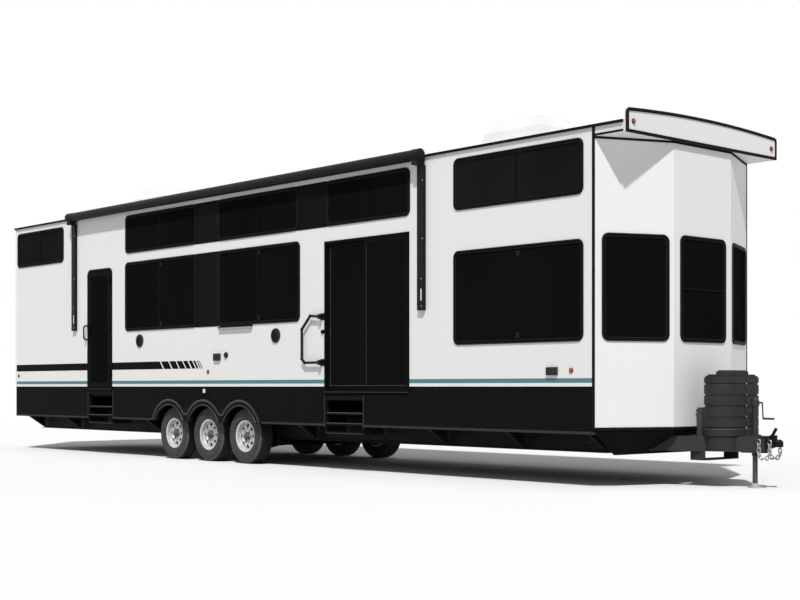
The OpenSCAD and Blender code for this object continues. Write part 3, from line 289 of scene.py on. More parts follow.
def side_wall_finish():
    b = Bench("side_wall_gel_coat")
    along = b.x - REAR_X
    sheared = (along + (b.z - STRIPE_MID) * BAR_SLANT - BAR_START) / BAR_SPAN
    steps = [(0.0, 1.0)] + [((edge - BAR_START) / BAR_SPAN, float(i % 2))
                            for i, edge in enumerate(BAR_EDGES)]
    bars = b.add("ShaderNodeValToRGB", {"ramp": "CONSTANT", "stops": steps}, {"Fac": sheared})
    ends = 1 - sheared.above((BAR_END - BAR_START) / BAR_SPAN, 0.001)
    black = b.z.between(STRIPE_LOW, STRIPE_HIGH) * bars * ends
    door_side = 1 - b.y.above(0.0)
    for start, end, sill, height in FILM_PANELS:
        panel = along.between(start, end) * b.z.between(sill, sill + height)
        black = black.either(panel * door_side)
    skin = b.y.absolute().above(HALF_W - SKIN) * along.above(CORNER_W)
    teal = b.z.between(TEAL_LOW, TEAL_HIGH)
    colour = b.mixed(teal * skin, b.mixed(black * skin, gel_coat(b), FILM), TEAL)
    foot = (1 - b.z.above(FOOT_TOP)) * b.y.absolute().above(HALF_W - FOOT_IN)
    colour = b.mixed(foot, colour, FILM)
    sheet_joint = 1 - (along - SHEET_W).folded(SHEET_W).above(0.002, 0.0015)
    ripple = b.cloud(1.6, 2.0) * 0.5 + b.cloud(60.0, 2.0) * 0.02 - sheet_joint * 0.1
    return b.done(colour, 0.26 + b.cloud(5.0) * 0.12, ripple, 0.002, DULL)


def plain_wall_finish():
    b = Bench("bay_gel_coat")
    ripple = b.cloud(1.6, 2.0) * 0.5 + b.cloud(60.0) * 0.02
    return b.done(gel_coat(b), 0.24 + b.cloud(5.0) * 0.12, ripple, 0.002, DULL)


def roof_finish():
    b = Bench("roof_membrane")
    folds = b.cloud(2.2, 4.0, (0.4, 2.5, 1))
    return b.done(b.mixed(b.cloud(1.4, 5.0) * 0.5, (0.80, 0.80, 0.79), (0.66, 0.65, 0.62)),
                  0.62 + b.cloud(9.0) * 0.2, folds, 0.006)


side_wall_white, bay_white, membrane = side_wall_finish(), plain_wall_finish(), roof_finish()
print("stripe bars:", len(BAR_EDGES))

# %% [markdown]
# ## Blacks that differ
# Half of the trailer is black, and flat black would lose every edge. The skirt is
# satin sheet whose folded foot is painted lighter as a highlight, trim is moulded
# plastic, and the chassis is sprayed steel with dust on what faces up. Each has its
# own sheen and grain.

# %% Skirt, trim and chassis finishes
def satin_sheet(name, low_z=None):
    """Dusty black sheet; a height gives it a folded foot there, painted paler as a highlight."""
    b = Bench(name)
    dust = b.cloud(2.5, 5.0) * 0.5
    colour = b.mixed(dust, (0.0068, 0.0064, 0.0061), (0.0125, 0.0118, 0.0112))
    if low_z is not None:
        # Painted highlight: the folded foot is painted paler for the light along the fold.
        foot_highlight = b.z.between(low_z, low_z + 0.028, 0.002) * 0.8
        colour = b.mixed(foot_highlight, colour, (0.055, 0.049, 0.046))
    return b.done(colour, 0.42 + b.cloud(8.0, 4.0) * 0.2,
                  b.cloud(2.4, 2.0) + b.cloud(90.0) * 0.03, 0.0025, DULL)


def moulding(b, colour, rough=0.4, grain=0.0004, sheen=DULL):
    return b.done(colour, rough + b.cloud(14.0, 4.0) * 0.22, b.cloud(420.0, 2.0), grain, sheen)


def moulded_black(name, shade, **feel):
    b = Bench(name)
    colour = b.mixed(b.cloud(6.0, 5.0), (shade, shade * 0.96, shade * 0.92),
                     (shade * 1.7, shade * 1.62, shade * 1.55))
    return moulding(b, colour, **feel)


def sprayed_steel(name, shade):
    b = Bench(name)
    normal = b.add("ShaderNodeNewGeometry", out="Normal")
    up = b.add("ShaderNodeSeparateXYZ", sockets={0: normal}, out=2)
    settled = up.above(0.5, 0.4) * b.cloud(7.0, 5.0)
    rust = b.cloud(22.0, 6.0).above(0.66, 0.04) * 0.55
    colour = b.mixed(settled * 0.4, (shade, shade, shade * 1.02), (0.09, 0.083, 0.078))
    colour = b.mixed(rust, colour, (0.075, 0.04, 0.025))
    return b.done(colour, 0.38 + b.cloud(18.0, 4.0) * 0.3, b.cloud(260.0, 3.0), 0.0004, SATIN)


RAIL_Z, CORNER_END = 3.557, 0.028
# The light bar: heights of its lens and of its box, and its reach along the wall
BAR_LENS, BAR_BOX, BAR_LONG = (1.754, 1.780), (1.750, 1.800), (5.80, 6.54)


def trim_finish():
    """Black edge strips, white on the rear corners as the wall beside them."""
    b = Bench("edge_strips")
    corner = (1 - b.x.above(from_rear(CORNER_END))) * (1 - b.z.above(RAIL_Z))
    black = b.mixed(b.cloud(6.0, 5.0), (0.0085, 0.0082, 0.0078), (0.0145, 0.0138, 0.0132))
    return moulding(b, b.mixed(corner, black, gel_coat(b)))


def fittings_finish():
    """Black vents and boxes; the light bar under the window has a grey lens."""
    b = Bench("side_fittings_moulding")
    light_bar = (b.x - REAR_X).between(*BAR_LONG)
    lens, bar = b.z.between(*BAR_LENS) * light_bar, b.z.between(*BAR_BOX) * light_bar
    black = b.mixed(b.cloud(6.0, 5.0), (0.030, 0.0290, 0.0284), (0.043, 0.0415, 0.0405))
    black = b.mixed(bar, black, (0.0085, 0.0082, 0.0078))
    return moulding(b, b.mixed(lens, black, (0.36, 0.36, 0.35)))


skirt_black = satin_sheet("skirt_sheet", 0.53)
apron_black = satin_sheet("apron_sheet")
trim_black = moulded_black("trim_moulding", 0.0085)
fittings_black = fittings_finish()
frame_black = moulded_black("window_frame_black", 0.0052, rough=0.34)
door_black = moulded_black("door_frame_black", 0.0042, rough=0.3)
edge_black = trim_finish()
awning_black = moulded_black("awning_casting", 0.0095, rough=0.33, sheen=SATIN)
lid_black = moulded_black("bottle_lid_plastic", 0.036, rough=0.46, grain=0.0012, sheen=SATIN)
box_grey = moulded_black("battery_box_plastic", 0.060, rough=0.5, grain=0.0008, sheen=SATIN)
step_black = moulded_black("step_spray", 0.0085, rough=0.5)
# Chassis steel is far darker than the tongue's: its black paint, deepened as painted shade under
# the body.
chassis_steel = sprayed_steel("chassis_spray", 0.008)
tongue_steel = sprayed_steel("tongue_spray", 0.042)
# Pale steel for the tread noses: a painted highlight on the tread edges.
nose_highlight_steel = sprayed_steel("nose_highlight_steel", 0.10)

# %% [markdown]
# ## Dark glass
# The windows are tinted almost black, and nothing inside shows. The upper panes of
# the end rooms are a little lighter: the pale ceiling behind them is painted onto
# them as painted light. A dark base with a faint cloud and a thin coat gives that
# without a mirror. The lamps are fluted lenses on black bases: amber, and red where
# they look to the rear.

# %% Tinted panes and lenses
REAR_ROOM_END, FRONT_ROOM_START, UPPER_ROW, LENS_BASE = 1.8, 10.0, 2.8, 0.0096


def tinted_glass():
    b = Bench("tinted_glass")
    veil = b.cloud(0.7, 2.0, (1, 1, 0.5)).above(0.5, 0.25)
    end_rooms = (1 - b.x.above(from_rear(REAR_ROOM_END))) + b.x.above(from_rear(FRONT_ROOM_START))
    # Painted light: the lit pale ceiling behind the upper panes is painted onto the glass.
    ceiling = b.z.above(UPPER_ROW) * end_rooms * (0.45 + veil * 0.55)
    dark = b.mixed(veil, (0.0042, 0.0046, 0.0045), (0.0064, 0.0070, 0.0067))
    return b.done(b.mixed(ceiling, dark, (0.0150, 0.0145, 0.0138)), 0.07 + b.cloud(3.0) * 0.05,
                  b.cloud(0.5, 1.0), 0.004, 0.0, **{"Coat Weight": 0.005, "Coat Roughness": 0.06})


def lens_finish():
    b = Bench("lamp_lens")
    flutes = (b.z * 900.0).wave() * 0.5 + 0.5
    amber = b.mixed(flutes, (0.46, 0.085, 0.006), (0.33, 0.055, 0.004))
    red = b.mixed(flutes, (0.45, 0.012, 0.01), (0.25, 0.006, 0.006))
    stands_out = (b.y.absolute() - HALF_W).either(b.x - from_rear(BOARD_X)).either(REAR_X - b.x)
    lens = b.mixed(b.x.above(REAR_X), red, amber)
    colour = b.mixed(1 - stands_out.above(LENS_BASE, 0.0003), lens, (0.02, 0.019, 0.018))
    return b.done(colour, 0.3 + b.cloud(30.0) * 0.1, flutes, 0.0003, 0.15)


glass, lamp_lens = tinted_glass(), lens_finish()

# %% [markdown]
# ## Rubber, silver paint and zinc
# Tyre walls carry fine rings round the bead. One formula serves all six wheels:
# wrapping X by the axle spacing gives the radius and turn round the nearest axle.

# %% Wheel and chain finishes
AXLE_X, PITCH, WHEEL_Z, TYRE_Y = from_rear(5.43), 0.838, 0.3595, 1.1275
BEAD_RINGS, WALL_RINGS, SHOULDER = (0.222, 0.236), (0.292, 0.303), (0.334, 0.350)
TREAD_HALF, TREAD_FOOT, LUGS = 0.084, 0.34, 60.0
HOLES, HOLE_CIRCLE, HOLE_R, DISC_R, HUB_R, DISC_BACK = 8, 0.134, 0.0232, 0.166, 0.058, 0.036
DISH_START, DISH_END, DISH_DEEP, CREASE_W = 0.092, 0.152, 0.8, 0.014
COVER_X, COVER_FRONT, COVER_BASE, COVER_TALL = from_rear(12.92), 0.175, 0.515, 0.612
GROOVE_TOPS = (0.12, 0.31, 0.49, 0.675, 0.845)


def from_axle(b):
    """Radius and turn of a point round the axle next to it."""
    near = b.x - AXLE_X + PITCH / 2
    wrap = near.maths("WRAP", near, PITCH, 0.0) - PITCH / 2
    high = b.z - WHEEL_Z
    return (wrap * wrap + high * high) ** 0.5, high.maths("ARCTAN2", high, wrap)


def rubber():
    """Wall rings, a dark tread with painted groove shade, and painted highlight dashes."""
    b = Bench("tyre_rubber")
    r, turn = from_axle(b)
    ringed = r.between(*BEAD_RINGS) + r.between(*WALL_RINGS)
    rings = (r * 1500.0).wave() * 0.5 * ringed
    dusty = b.cloud(16.0, 5.0).above(0.45, 0.3)
    colour = b.mixed(dusty, (0.022, 0.0195, 0.0180), (0.052, 0.045, 0.041))
    # The tread band is darker: the rubber's own tone, plus painted shade for its grooves.
    rolling = 1 - (b.y.absolute() - TYRE_Y).absolute().above(TREAD_HALF, 0.006)
    colour = b.mixed(rolling * r.above(TREAD_FOOT, 0.004), colour, (0.0135, 0.0125, 0.012))
    # Painted highlight: pale dashes on the lugs at the edge of the tread.
    lugs = (turn * LUGS).wave().above(0.0, 0.3) * 0.6 + 0.3
    shoulder_highlight = r.between(*SHOULDER, 0.004) * (1 - rolling)
    colour = b.mixed(shoulder_highlight * lugs, colour, (0.13, 0.122, 0.115))
    return b.done(colour, 0.72 + b.cloud(40.0) * 0.2, rings + b.cloud(200.0) * 0.1, 0.0012)


def wheel_silver():
    """Silver paint and dirt; painted shade in the holes, behind the disc and round the hub."""
    b = Bench("wheel_silver_paint")
    r, turn = from_axle(b)
    swing = turn.folded(math.pi / HOLES)
    ahead = r * swing.maths("COSINE", swing) - HOLE_CIRCLE
    beside = r * swing.wave()
    # Painted shade: the holes, the back of the disc, the hub and a ring at the disc's edge are
    # painted dark.
    hole_shade = 1 - ((ahead * ahead + beside * beside) ** 0.5).above(HOLE_R, 0.0006)
    behind = (1 - b.y.absolute().above(TYRE_Y + DISC_BACK, 0.002)) * (1 - r.above(DISC_R, 0.002))
    hub_shade = 1 - r.above(HUB_R, 0.014)
    crease_shade = r.between(DISC_R - CREASE_W, DISC_R, 0.003)
    # Real dirt from the cloud, plus painted shade at the hub and at the ring at the disc's edge.
    darkening = b.cloud(28.0, 6.0).above(0.56, 0.12) * 0.2 + hub_shade * 0.95 + crease_shade * 0.4
    colour = b.mixed(darkening, (0.64, 0.64, 0.63), (0.065, 0.062, 0.060))
    colour = b.mixed(hole_shade.either(behind), colour, (0.006, 0.006, 0.006))
    dish = r.maths("MINIMUM", r.either(DISH_START), DISH_END) * DISH_DEEP
    return b.done(colour, 0.3 + b.cloud(50.0) * 0.15, dish + b.cloud(300.0) * 0.0001, 1.0,
                  Metallic=0.25)


def cover_finish():
    """Moulded bands with a painted highlight along the upper edge of each."""
    b = Bench("bottle_cover_plastic")
    colour = b.mixed(b.cloud(6.0, 5.0), (0.026, 0.025, 0.024), (0.046, 0.044, 0.042))
    for share in GROOVE_TOPS:
        high = COVER_BASE + share * COVER_TALL
        # Painted highlight: a pale line just under the top of each band.
        band_highlight = b.z.between(high - 0.007, high - 0.001, 0.001) * (0.25 + b.cloud(9.0) * 0.9)
        colour = b.mixed(band_highlight, colour, (0.17, 0.165, 0.16))
    return moulding(b, colour, 0.46, 0.0012, SATIN)


def zinc(name, bright=0.62):
    b = Bench(name)
    spangle = b.cloud(120.0, 3.0)
    return b.done(b.mixed(spangle, (bright,) * 3, (bright * 0.55,) * 3), 0.3 + spangle * 0.25,
                  b.cloud(400.0), 0.0003, Metallic=0.85)


tyre_rubber, rim_silver, chain_zinc = rubber(), wheel_silver(), zinc("chain_zinc")
bolt_zinc, slot_silver = zinc("fastener_zinc", 0.5), zinc("slot_silver", 0.9)
cover_black = cover_finish()

# %% [markdown]
# ## Jack, roof units and deck
# The jack is one solid, black above and bare steel on its sliding leg, so height
# decides its paint. The roof units are white shrouds with a little weathering.

# %% Two-tone jack, shrouds and deck
LEG_TOP, FOOT_PLATE_TOP = 0.315, 0.046


def jack_finish():
    b = Bench("jack_black_and_steel")
    bare = 1 - b.z.above(LEG_TOP, 0.002)
    dull = b.cloud(60.0, 4.0)
    colour = b.mixed(bare, b.mixed(dull, (0.022, 0.021, 0.021), (0.04, 0.038, 0.037)),
                     b.mixed(dull, (0.05, 0.049, 0.048), (0.085, 0.084, 0.082)))
    foot = 1 - b.z.above(FOOT_PLATE_TOP, 0.001)
    colour = b.mixed(foot, colour, b.mixed(dull, (0.30, 0.30, 0.29), (0.46, 0.46, 0.45)))
    return b.done(colour, 0.36 + dull * 0.2, b.cloud(300.0), 0.0003, 0.25)


def shroud_finish():
    b = Bench("roof_unit_shroud")
    darkening = b.cloud(3.0, 5.0).above(0.5, 0.3) * 0.3
    return b.done(b.mixed(darkening, (0.84, 0.84, 0.83), (0.66, 0.65, 0.62)),
                  0.45 + b.cloud(12.0) * 0.15, b.cloud(90.0), 0.0006)


def deck_finish():
    b = Bench("plywood_deck")
    grain = b.cloud(14.0, 6.0, (0.3, 6, 1))
    return b.done(b.mixed(grain, (0.36, 0.25, 0.15), (0.22, 0.145, 0.085)),
                  0.6 + grain * 0.2, grain, 0.0008)


jack_paint, shroud_white, deck_wood = jack_finish(), shroud_finish(), deck_finish()

# %% [markdown]
# ## Dress the ready solids
# A solid keeps its shape and only gets a finish. A table pairs each one with its
# finish, and a check makes sure that none is forgotten.

# %% Hand out the finishes
dress = {
    "roof": membrane, "front_hood": bay_white, "side_wall_right": side_wall_white,
    "side_wall_left": side_wall_white, "rear_wall": bay_white, "front_wall": bay_white,
    "floor": deck_wood, "skirt_right": skirt_black, "skirt_left": skirt_black,
    "skirt_rear": skirt_black, "front_apron": apron_black, "main_rails": chassis_steel,
    "cross_members": chassis_steel, "underbelly": apron_black, "tongue_frame": tongue_steel,
    "coupler": chassis_steel, "safety_chains": chain_zinc, "tongue_jack": jack_paint,
    "gas_cover": cover_black, "gas_cover_lid": lid_black, "battery_box": box_grey,
    "axles": chassis_steel, "leaf_springs": chassis_steel, "fenders": trim_black,
    "window_frames": frame_black, "window_panes": glass, "entry_door_frame": door_black,
    "patio_door_frame": door_black, "awning_roller": awning_black, "awning_arms": awning_black,
    "entry_steps": step_black, "air_conditioners": shroud_white, "roof_vents": shroud_white,
    "wall_trim": edge_black, "lamps": lamp_lens, "side_fittings": fittings_black,
    "entry_door": door_black, "patio_slider": door_black, "assist_handle": awning_black,
}
for name in solids:
    if name.startswith("tyre_"):
        dress[name] = tyre_rubber
    if name.startswith("rim_"):
        dress[name] = rim_silver
assert set(dress) == set(solids), set(solids) ^ set(dress)
for name, finish in dress.items():
    solids[name].data.materials.clear()
    solids[name].data.materials.append(finish)
print("dressed:", len(dress))

# %% [markdown]
# ## Helpers for small parts
# Most added parts are flat shapes with soft edges: a pane, a plate, a cap. One
# helper extrudes an outline on a face and bevels it. Another collects meshes that
# share a body and a finish into one piece, which rides on that body.


# %% Outlines, plates and pieces
def rounded(x, z, width, height, radius=0.0, steps=6):
    if radius <= 0:
        return [(x, z), (x + width, z), (x + width, z + height), (x, z + height)]
    corners = [(x + width - radius, z + radius, -90), (x + width - radius, z + height - radius, 0),
               (x + radius, z + height - radius, 90), (x + radius, z + radius, 180)]
    return [(cx + radius * math.cos(math.radians(start + 90 * i / steps)),
             cz + radius * math.sin(math.radians(start + 90 * i / steps)))
            for cx, cz, start in corners for i in range(steps + 1)]


def plate(target, matrix, outline, front, back, soft=0.0):
    """Adds a slab between depths front and back (negative is outside) on a face."""
    part = bmesh.new()
    ring = [part.verts.new((x, front, z)) for x, z in outline]
    cap = part.faces.new(ring)
    grown = bmesh.ops.extrude_face_region(part, geom=[cap])
    for v in [g for g in grown["geom"] if isinstance(g, bmesh.types.BMVert)]:
        v.co.y = back
    bmesh.ops.recalc_face_normals(part, faces=part.faces)
    if soft:
        rims = [e for e in part.edges if all(abs(v.co.y - front) < 1e-6 for v in e.verts)]
        bmesh.ops.bevel(part, geom=rims, offset=soft, segments=2, affect="EDGES")
    part.transform(matrix)
    spare = bpy.data.meshes.new("spare")
    part.to_mesh(spare)
    part.free()
    target.from_mesh(spare)
    bpy.data.meshes.remove(spare)


def piece(name, shape, finish, body):
    """Makes one piece of a BMesh or a ready mesh, and sets its body and slot."""
    if isinstance(shape, bmesh.types.BMesh):
        mesh = bpy.data.meshes.new(name)
        shape.to_mesh(mesh)
        shape.free()
    else:
        mesh = shape
        mesh.name = name
    thing = bpy.data.objects.new(name, mesh)
    bpy.context.collection.objects.link(thing)
    mesh.materials.clear()
    mesh.materials.append(finish)
    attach(thing, body)
    print("piece", name, "faces:", len(mesh.polygons), "on:", body)
    return thing


# %% [markdown]
# ## Geometry Nodes in a few lines
# Things that repeat come from a node tree: one small shape, instanced on points.
# A helper builds trees from Python, gives them named inputs, and turns the result
# into a plain mesh. Inputs are set by identifier before the first evaluation.


# %% Grow a mesh from a node tree
class Grower:
    def __init__(self, name):
        self.tree = bpy.data.node_groups.new(name, "GeometryNodeTree")
        self.tree.interface.new_socket("Geometry", in_out="OUTPUT",
                                       socket_type="NodeSocketGeometry")
        self.entry = self.tree.nodes.new("NodeGroupInput")
        self.values = {}

    def named(self, name, value, kind="NodeSocketFloat"):
        socket = self.tree.interface.new_socket(name, in_out="INPUT", socket_type=kind)
        self.values[socket.identifier] = value
        return self.entry.outputs[name]

    def node(self, kind, settings=None, sockets=None):
        made = self.tree.nodes.new(kind)
        for key, value in (settings or {}).items():
            setattr(made, key, value)
        for key, value in (sockets or {}).items():
            if isinstance(value, bpy.types.NodeSocket):
                self.tree.links.new(value, made.inputs[key])
            else:
                made.inputs[key].default_value = value
        return made.outputs[0]

    def on_hub(self, last, hub, turn):
        return self.node("GeometryNodeTransform", sockets={
            "Geometry": last, "Translation": self.named("Hub", hub, "NodeSocketVector"),
            "Rotation": self.named("Turn", turn, "NodeSocketVector")})

    def mesh(self, last, finish):
        real = self.node("GeometryNodeRealizeInstances", sockets={0: last})
        worn = self.node("GeometryNodeSetMaterial", sockets={"Geometry": real, "Material": finish})
        leave = self.tree.nodes.new("NodeGroupOutput")
        self.tree.links.new(worn, leave.inputs[0])
        holder = bpy.data.objects.new("holder", bpy.data.meshes.new("holder"))
        bpy.context.collection.objects.link(holder)
        grow = holder.modifiers.new("grow", "NODES")
        grow.node_group = self.tree
        for identifier, value in self.values.items():
            grow[identifier] = value
        made = bpy.data.meshes.new_from_object(
            holder.evaluated_get(bpy.context.evaluated_depsgraph_get()))
        bpy.data.objects.remove(holder)
        return made


# %% [markdown]
# ## Tyres with real tread
# A trailer tyre has five rows of blocks between straight grooves. The carcass is a
# profile turned round the axle, a little smaller than the tyre. The blocks are one
# cube on a circle of points, once for each row, each row turned by half a step.

# %% Tyre carcass by turning a profile
TREAD_R, GROOVE = 0.3595, 0.008
# Radius and half width, from the bead to the middle of the tread
half_profile = [(0.1905, 0.0), (0.1905, 0.0817), (0.2078, 0.0877), (0.2125, 0.097),
                (0.222, 0.1045), (0.2345, 0.1085), (0.252, 0.1115), (0.2705, 0.1125),
                (0.288, 0.1108), (0.3025, 0.1075), (0.320, 0.1045), (0.334, 0.101),
                (0.343, 0.0955), (0.3485, 0.088), (0.3515, 0.078), (0.3515, 0.0)]
AROUND = 120


def carcass(matrix):
    profile = half_profile + [(r, -w) for r, w in reversed(half_profile[1:-1])]
    mesh = bmesh.new()
    rings = []
    for i in range(AROUND):
        a = 2 * math.pi * i / AROUND
        rings.append([mesh.verts.new(matrix @ Vector((r * math.cos(a), r * math.sin(a), w)))
                      for r, w in profile])
    for i in range(AROUND):
        near, far = rings[i], rings[(i + 1) % AROUND]
        for j in range(len(profile)):
            k = (j + 1) % len(profile)
            mesh.faces.new((near[j], near[k], far[k], far[j])).smooth = True
    bmesh.ops.recalc_face_normals(mesh, faces=mesh.faces)
    return mesh


# %% Tread blocks by Geometry Nodes
BLOCKS, BLOCK_LEN = 60, 0.029
# Offset and width of each row
ROWS = [(-0.070, 0.026), (-0.036, 0.028), (0.0, 0.028), (0.036, 0.028), (0.070, 0.026)]


def tread(centre, turn, finish):
    g = Grower("tread_rows")
    radius = g.named("Block radius", TREAD_R - GROOVE / 2 - 0.0006)
    count = g.named("Blocks in a row", BLOCKS, "NodeSocketInt")
    rows = g.node("GeometryNodeJoinGeometry")
    joiner = rows.node
    for i, (offset, width) in enumerate(ROWS):
        ring = g.node("GeometryNodeMeshCircle", sockets={"Vertices": count, "Radius": radius})
        outwards = g.node("GeometryNodeInputPosition")
        facing = g.node("FunctionNodeAlignRotationToVector", {"axis": "X"}, {"Vector": outwards})
        block = g.node("GeometryNodeMeshCube", sockets={"Size": (GROOVE, BLOCK_LEN, width)})
        spread = g.node("GeometryNodeInstanceOnPoints", sockets={
            "Points": ring, "Instance": block, "Rotation": facing})
        moved = g.node("GeometryNodeTransform", sockets={
            "Geometry": spread, "Translation": (0, 0, offset),
            "Rotation": (0, 0, math.pi / BLOCKS * (i % 2))})
        g.tree.links.new(moved, joiner.inputs[0])
    return g.mesh(g.on_hub(rows, centre, turn), finish)


# %% Wheel nuts by Geometry Nodes
def wheel_nuts(centre, turn, finish):
    g = Grower("wheel_nuts")
    ring = g.node("GeometryNodeMeshCircle", sockets={
        "Vertices": g.named("Nuts", 6, "NodeSocketInt"), "Radius": g.named("Bolt circle", 0.0698)})
    nut = g.node("GeometryNodeMeshCylinder", sockets={
        "Vertices": 6, "Radius": g.named("Nut radius", 0.0122),
        "Depth": g.named("Nut height", 0.024)})
    spread = g.node("GeometryNodeInstanceOnPoints", sockets={"Points": ring, "Instance": nut})
    return g.mesh(g.on_hub(spread, centre, turn), finish)


# %% Fit all six wheels
NUTS_OUT = 0.060

for side, sign in (("right", -1), ("left", 1)):
    for number in (1, 2, 3):
        wheel = f"{side}_{number}"
        hub = Vector((AXLE_X + (number - 2) * PITCH, sign * TYRE_Y, WHEEL_Z))
        turn = (-sign * math.pi / 2, 0.0, 0.0)
        matrix = Matrix.Translation(hub) @ Matrix.Rotation(turn[0], 4, "X")
        casing = carcass(matrix)
        casing.from_mesh(tread(tuple(hub), turn, tyre_rubber))
        tyre = piece(f"treaded_tyre_{wheel}", casing, tyre_rubber, f"wheel_{wheel}")
        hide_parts(f"tyre_{wheel}")
        face = hub + Vector((0, sign * NUTS_OUT, 0))
        piece(f"wheel_nuts_{wheel}", wheel_nuts(tuple(face), turn, bolt_zinc), bolt_zinc,
              f"wheel_{wheel}")
print("tyre triangles:", sum(len(p.vertices) - 2 for p in tyre.data.polygons))

# %% [markdown]
# ## Glass on the doors
# Each door is one solid with its frame. A thin pane over its opening gives the
# glass its own finish and a crisp edge, and rides on the door's body.

# %% Door panes
# Name, body, left edge, foot, width, height, corner radius, front and back
DOOR_PANES = [
    ("entry_door_pane", "entry_door", 2.4345, 1.0615, 0.503, 1.591, 0.042, -0.0065, -0.002),
    ("patio_fixed_pane", "root", 8.7905, 1.0145, 0.647, 1.653, 0.0, -0.0055, -0.001),
    ("patio_slider_pane", "patio_slider", 8.0995, 1.0148, 0.642, 1.649, 0.0, 0.0205, 0.025),
]
for name, body, x, z, width, height, radius, front, back in DOOR_PANES:
    pane = bmesh.new()
    plate(pane, DOOR_SIDE, rounded(x, z, width, height, radius), front, back, 0.001)
    piece(name, pane, glass, body)

# %% [markdown]
# ## Window gaskets
# A soft bead of rubber runs round each pane and catches a thin line of light. It
# follows a path, so a curve per window and one Curve to Mesh node make them all.

# %% Beads round the windows
# Face, start, end, sill and height
WINDOWS = [
    (DOOR_SIDE, 0.07, 1.59, 2.93, 0.55), (DOOR_SIDE, 3.42, 5.25, 2.93, 0.55),
    (DOOR_SIDE, 5.755, 7.49, 2.93, 0.55), (DOOR_SIDE, 8.04, 9.535, 2.93, 0.55),
    (DOOR_SIDE, 10.24, 12.08, 2.915, 0.565), (DOOR_SIDE, 3.415, 5.25, 1.805, 0.995),
    (DOOR_SIDE, 5.76, 7.525, 1.805, 0.995), (DOOR_SIDE, 10.24, 12.08, 1.455, 1.02),
    (BAY_RIGHT, 0.079, 0.8258, 1.455, 1.07), (BAY_FRONT, 0.101, 0.879, 1.455, 1.08),
    (BAY_LEFT, 0.054, 0.8008, 1.455, 1.07), (OFF_SIDE, 0.14, 1.98, 2.915, 0.565),
    (OFF_SIDE, 0.14, 1.98, 1.455, 1.02), (OFF_SIDE, 3.2, 4.695, 2.93, 0.55),
    (OFF_SIDE, 4.97, 6.8, 2.93, 0.55), (OFF_SIDE, 4.97, 6.8, 1.805, 0.995),
    (OFF_SIDE, 9.4, 10.5, 1.805, 0.995), (REAR_FACE, 0.545, 2.045, 2.93, 0.55),
]
WINDOW_R = 0.075


def new_paths(name):
    paths = bpy.data.curves.new(name, "CURVE")
    paths.dimensions = "3D"
    return paths


def add_line(paths, face, outline, depth, closed):
    line = paths.splines.new("POLY")
    line.points.add(len(outline) - 1)
    for point, (x, z) in zip(line.points, outline):
        point.co = (*(face @ Vector((x, depth, z))), 1)
    line.use_cyclic_u = closed


def sweep(name, paths, thick, finish, body="root"):
    route = bpy.data.objects.new(name, paths)
    bpy.context.collection.objects.link(route)
    g = Grower(name)
    info = g.node("GeometryNodeObjectInfo", sockets={"Object": route})
    lines = info.node.outputs["Geometry"]
    round_bar = g.node("GeometryNodeCurvePrimitiveCircle", sockets={
        "Resolution": 8, "Radius": g.named("Bead radius", thick)})
    swept = g.node("GeometryNodeCurveToMesh", sockets={"Curve": lines, "Profile Curve": round_bar})
    made = g.mesh(swept, finish)
    bpy.data.objects.remove(route)
    return piece(name, made, finish, body)


def beads(name, inset, depth, thick, finish):
    paths = new_paths(name)
    for face, start, end, sill, height in WINDOWS:
        add_line(paths, face, rounded(start + inset, sill + inset, end - start - 2 * inset,
                                      height - 2 * inset, WINDOW_R - inset, 8), depth, True)
    return sweep(name, paths, thick, finish)


def swept_path(name, lines, thick, finish, body="root", both=True):
    paths = new_paths(name)
    for outline, depth in lines:
        add_line(paths, DOOR_SIDE, outline, depth, False)
        if both:
            add_line(paths, OFF_SIDE, [(BODY_LEN - x, z) for x, z in outline], depth, False)
    return sweep(name, paths, thick, finish, body)


gasket_rubber = moulded_black("gasket_rubber", 0.016, rough=0.5)
edge_bead = moulded_black("frame_edge_bead", 0.02, rough=0.3)
beads("window_gaskets", inset=0.036, depth=-0.006, thick=0.005, finish=gasket_rubber)
beads("window_edge_beads", inset=0.006, depth=-0.0085, thick=0.0055, finish=edge_bead)

# %% [markdown]
# ## Bright edges on the doors
# Black doors would vanish in a black frame. Thin pale lines, a painted highlight,
# draw them: the sill's two lips, the stile in the middle, and the closing edge of
# each door.

# %% Painted highlight lines
# Painted highlight: thin lines in a black far paler than the doors.
highlight_line = moulded_black("highlight_line_black", 0.075, rough=0.35)
EDGE_R, HEAD_Z = 0.0024, 2.66
# Both ends of each line, along the wall and up, and its depth
frame_lines = [([(8.012, 0.940), (9.520, 0.940)], -0.0115),
               ([(8.10, 1.017), (9.49, 1.017)], -0.0085),
               ([(8.7895, 1.017), (8.7895, HEAD_Z)], -0.0085),
               ([(2.345, 0.966), (3.030, 0.966)], -0.0110),
               ([(3.035, 1.05), (3.035, HEAD_Z)], -0.0095)]
swept_path("door_frame_edges", frame_lines, EDGE_R, highlight_line, both=False)
swept_path("patio_slider_edge", [([(8.0985, 1.02), (8.0985, HEAD_Z)], 0.0165)], EDGE_R, highlight_line,
           "patio_slider", both=False)

# %% [markdown]
# ## Lips on the fenders
# The three arches are one moulding with a raised lip inside and outside. The same
# sweep draws them along arcs round the axles. Between two arches the outer lip dips
# into a valley. It is glossier than the rest and catches the sun.

# %% Lips along the arches
def arc(x, radius, start, end, steps=20):
    turns = [math.radians(start + (end - start) * i / steps) for i in range(steps + 1)]
    return [(x + radius * math.cos(a), WHEEL_Z + radius * math.sin(a)) for a in turns]


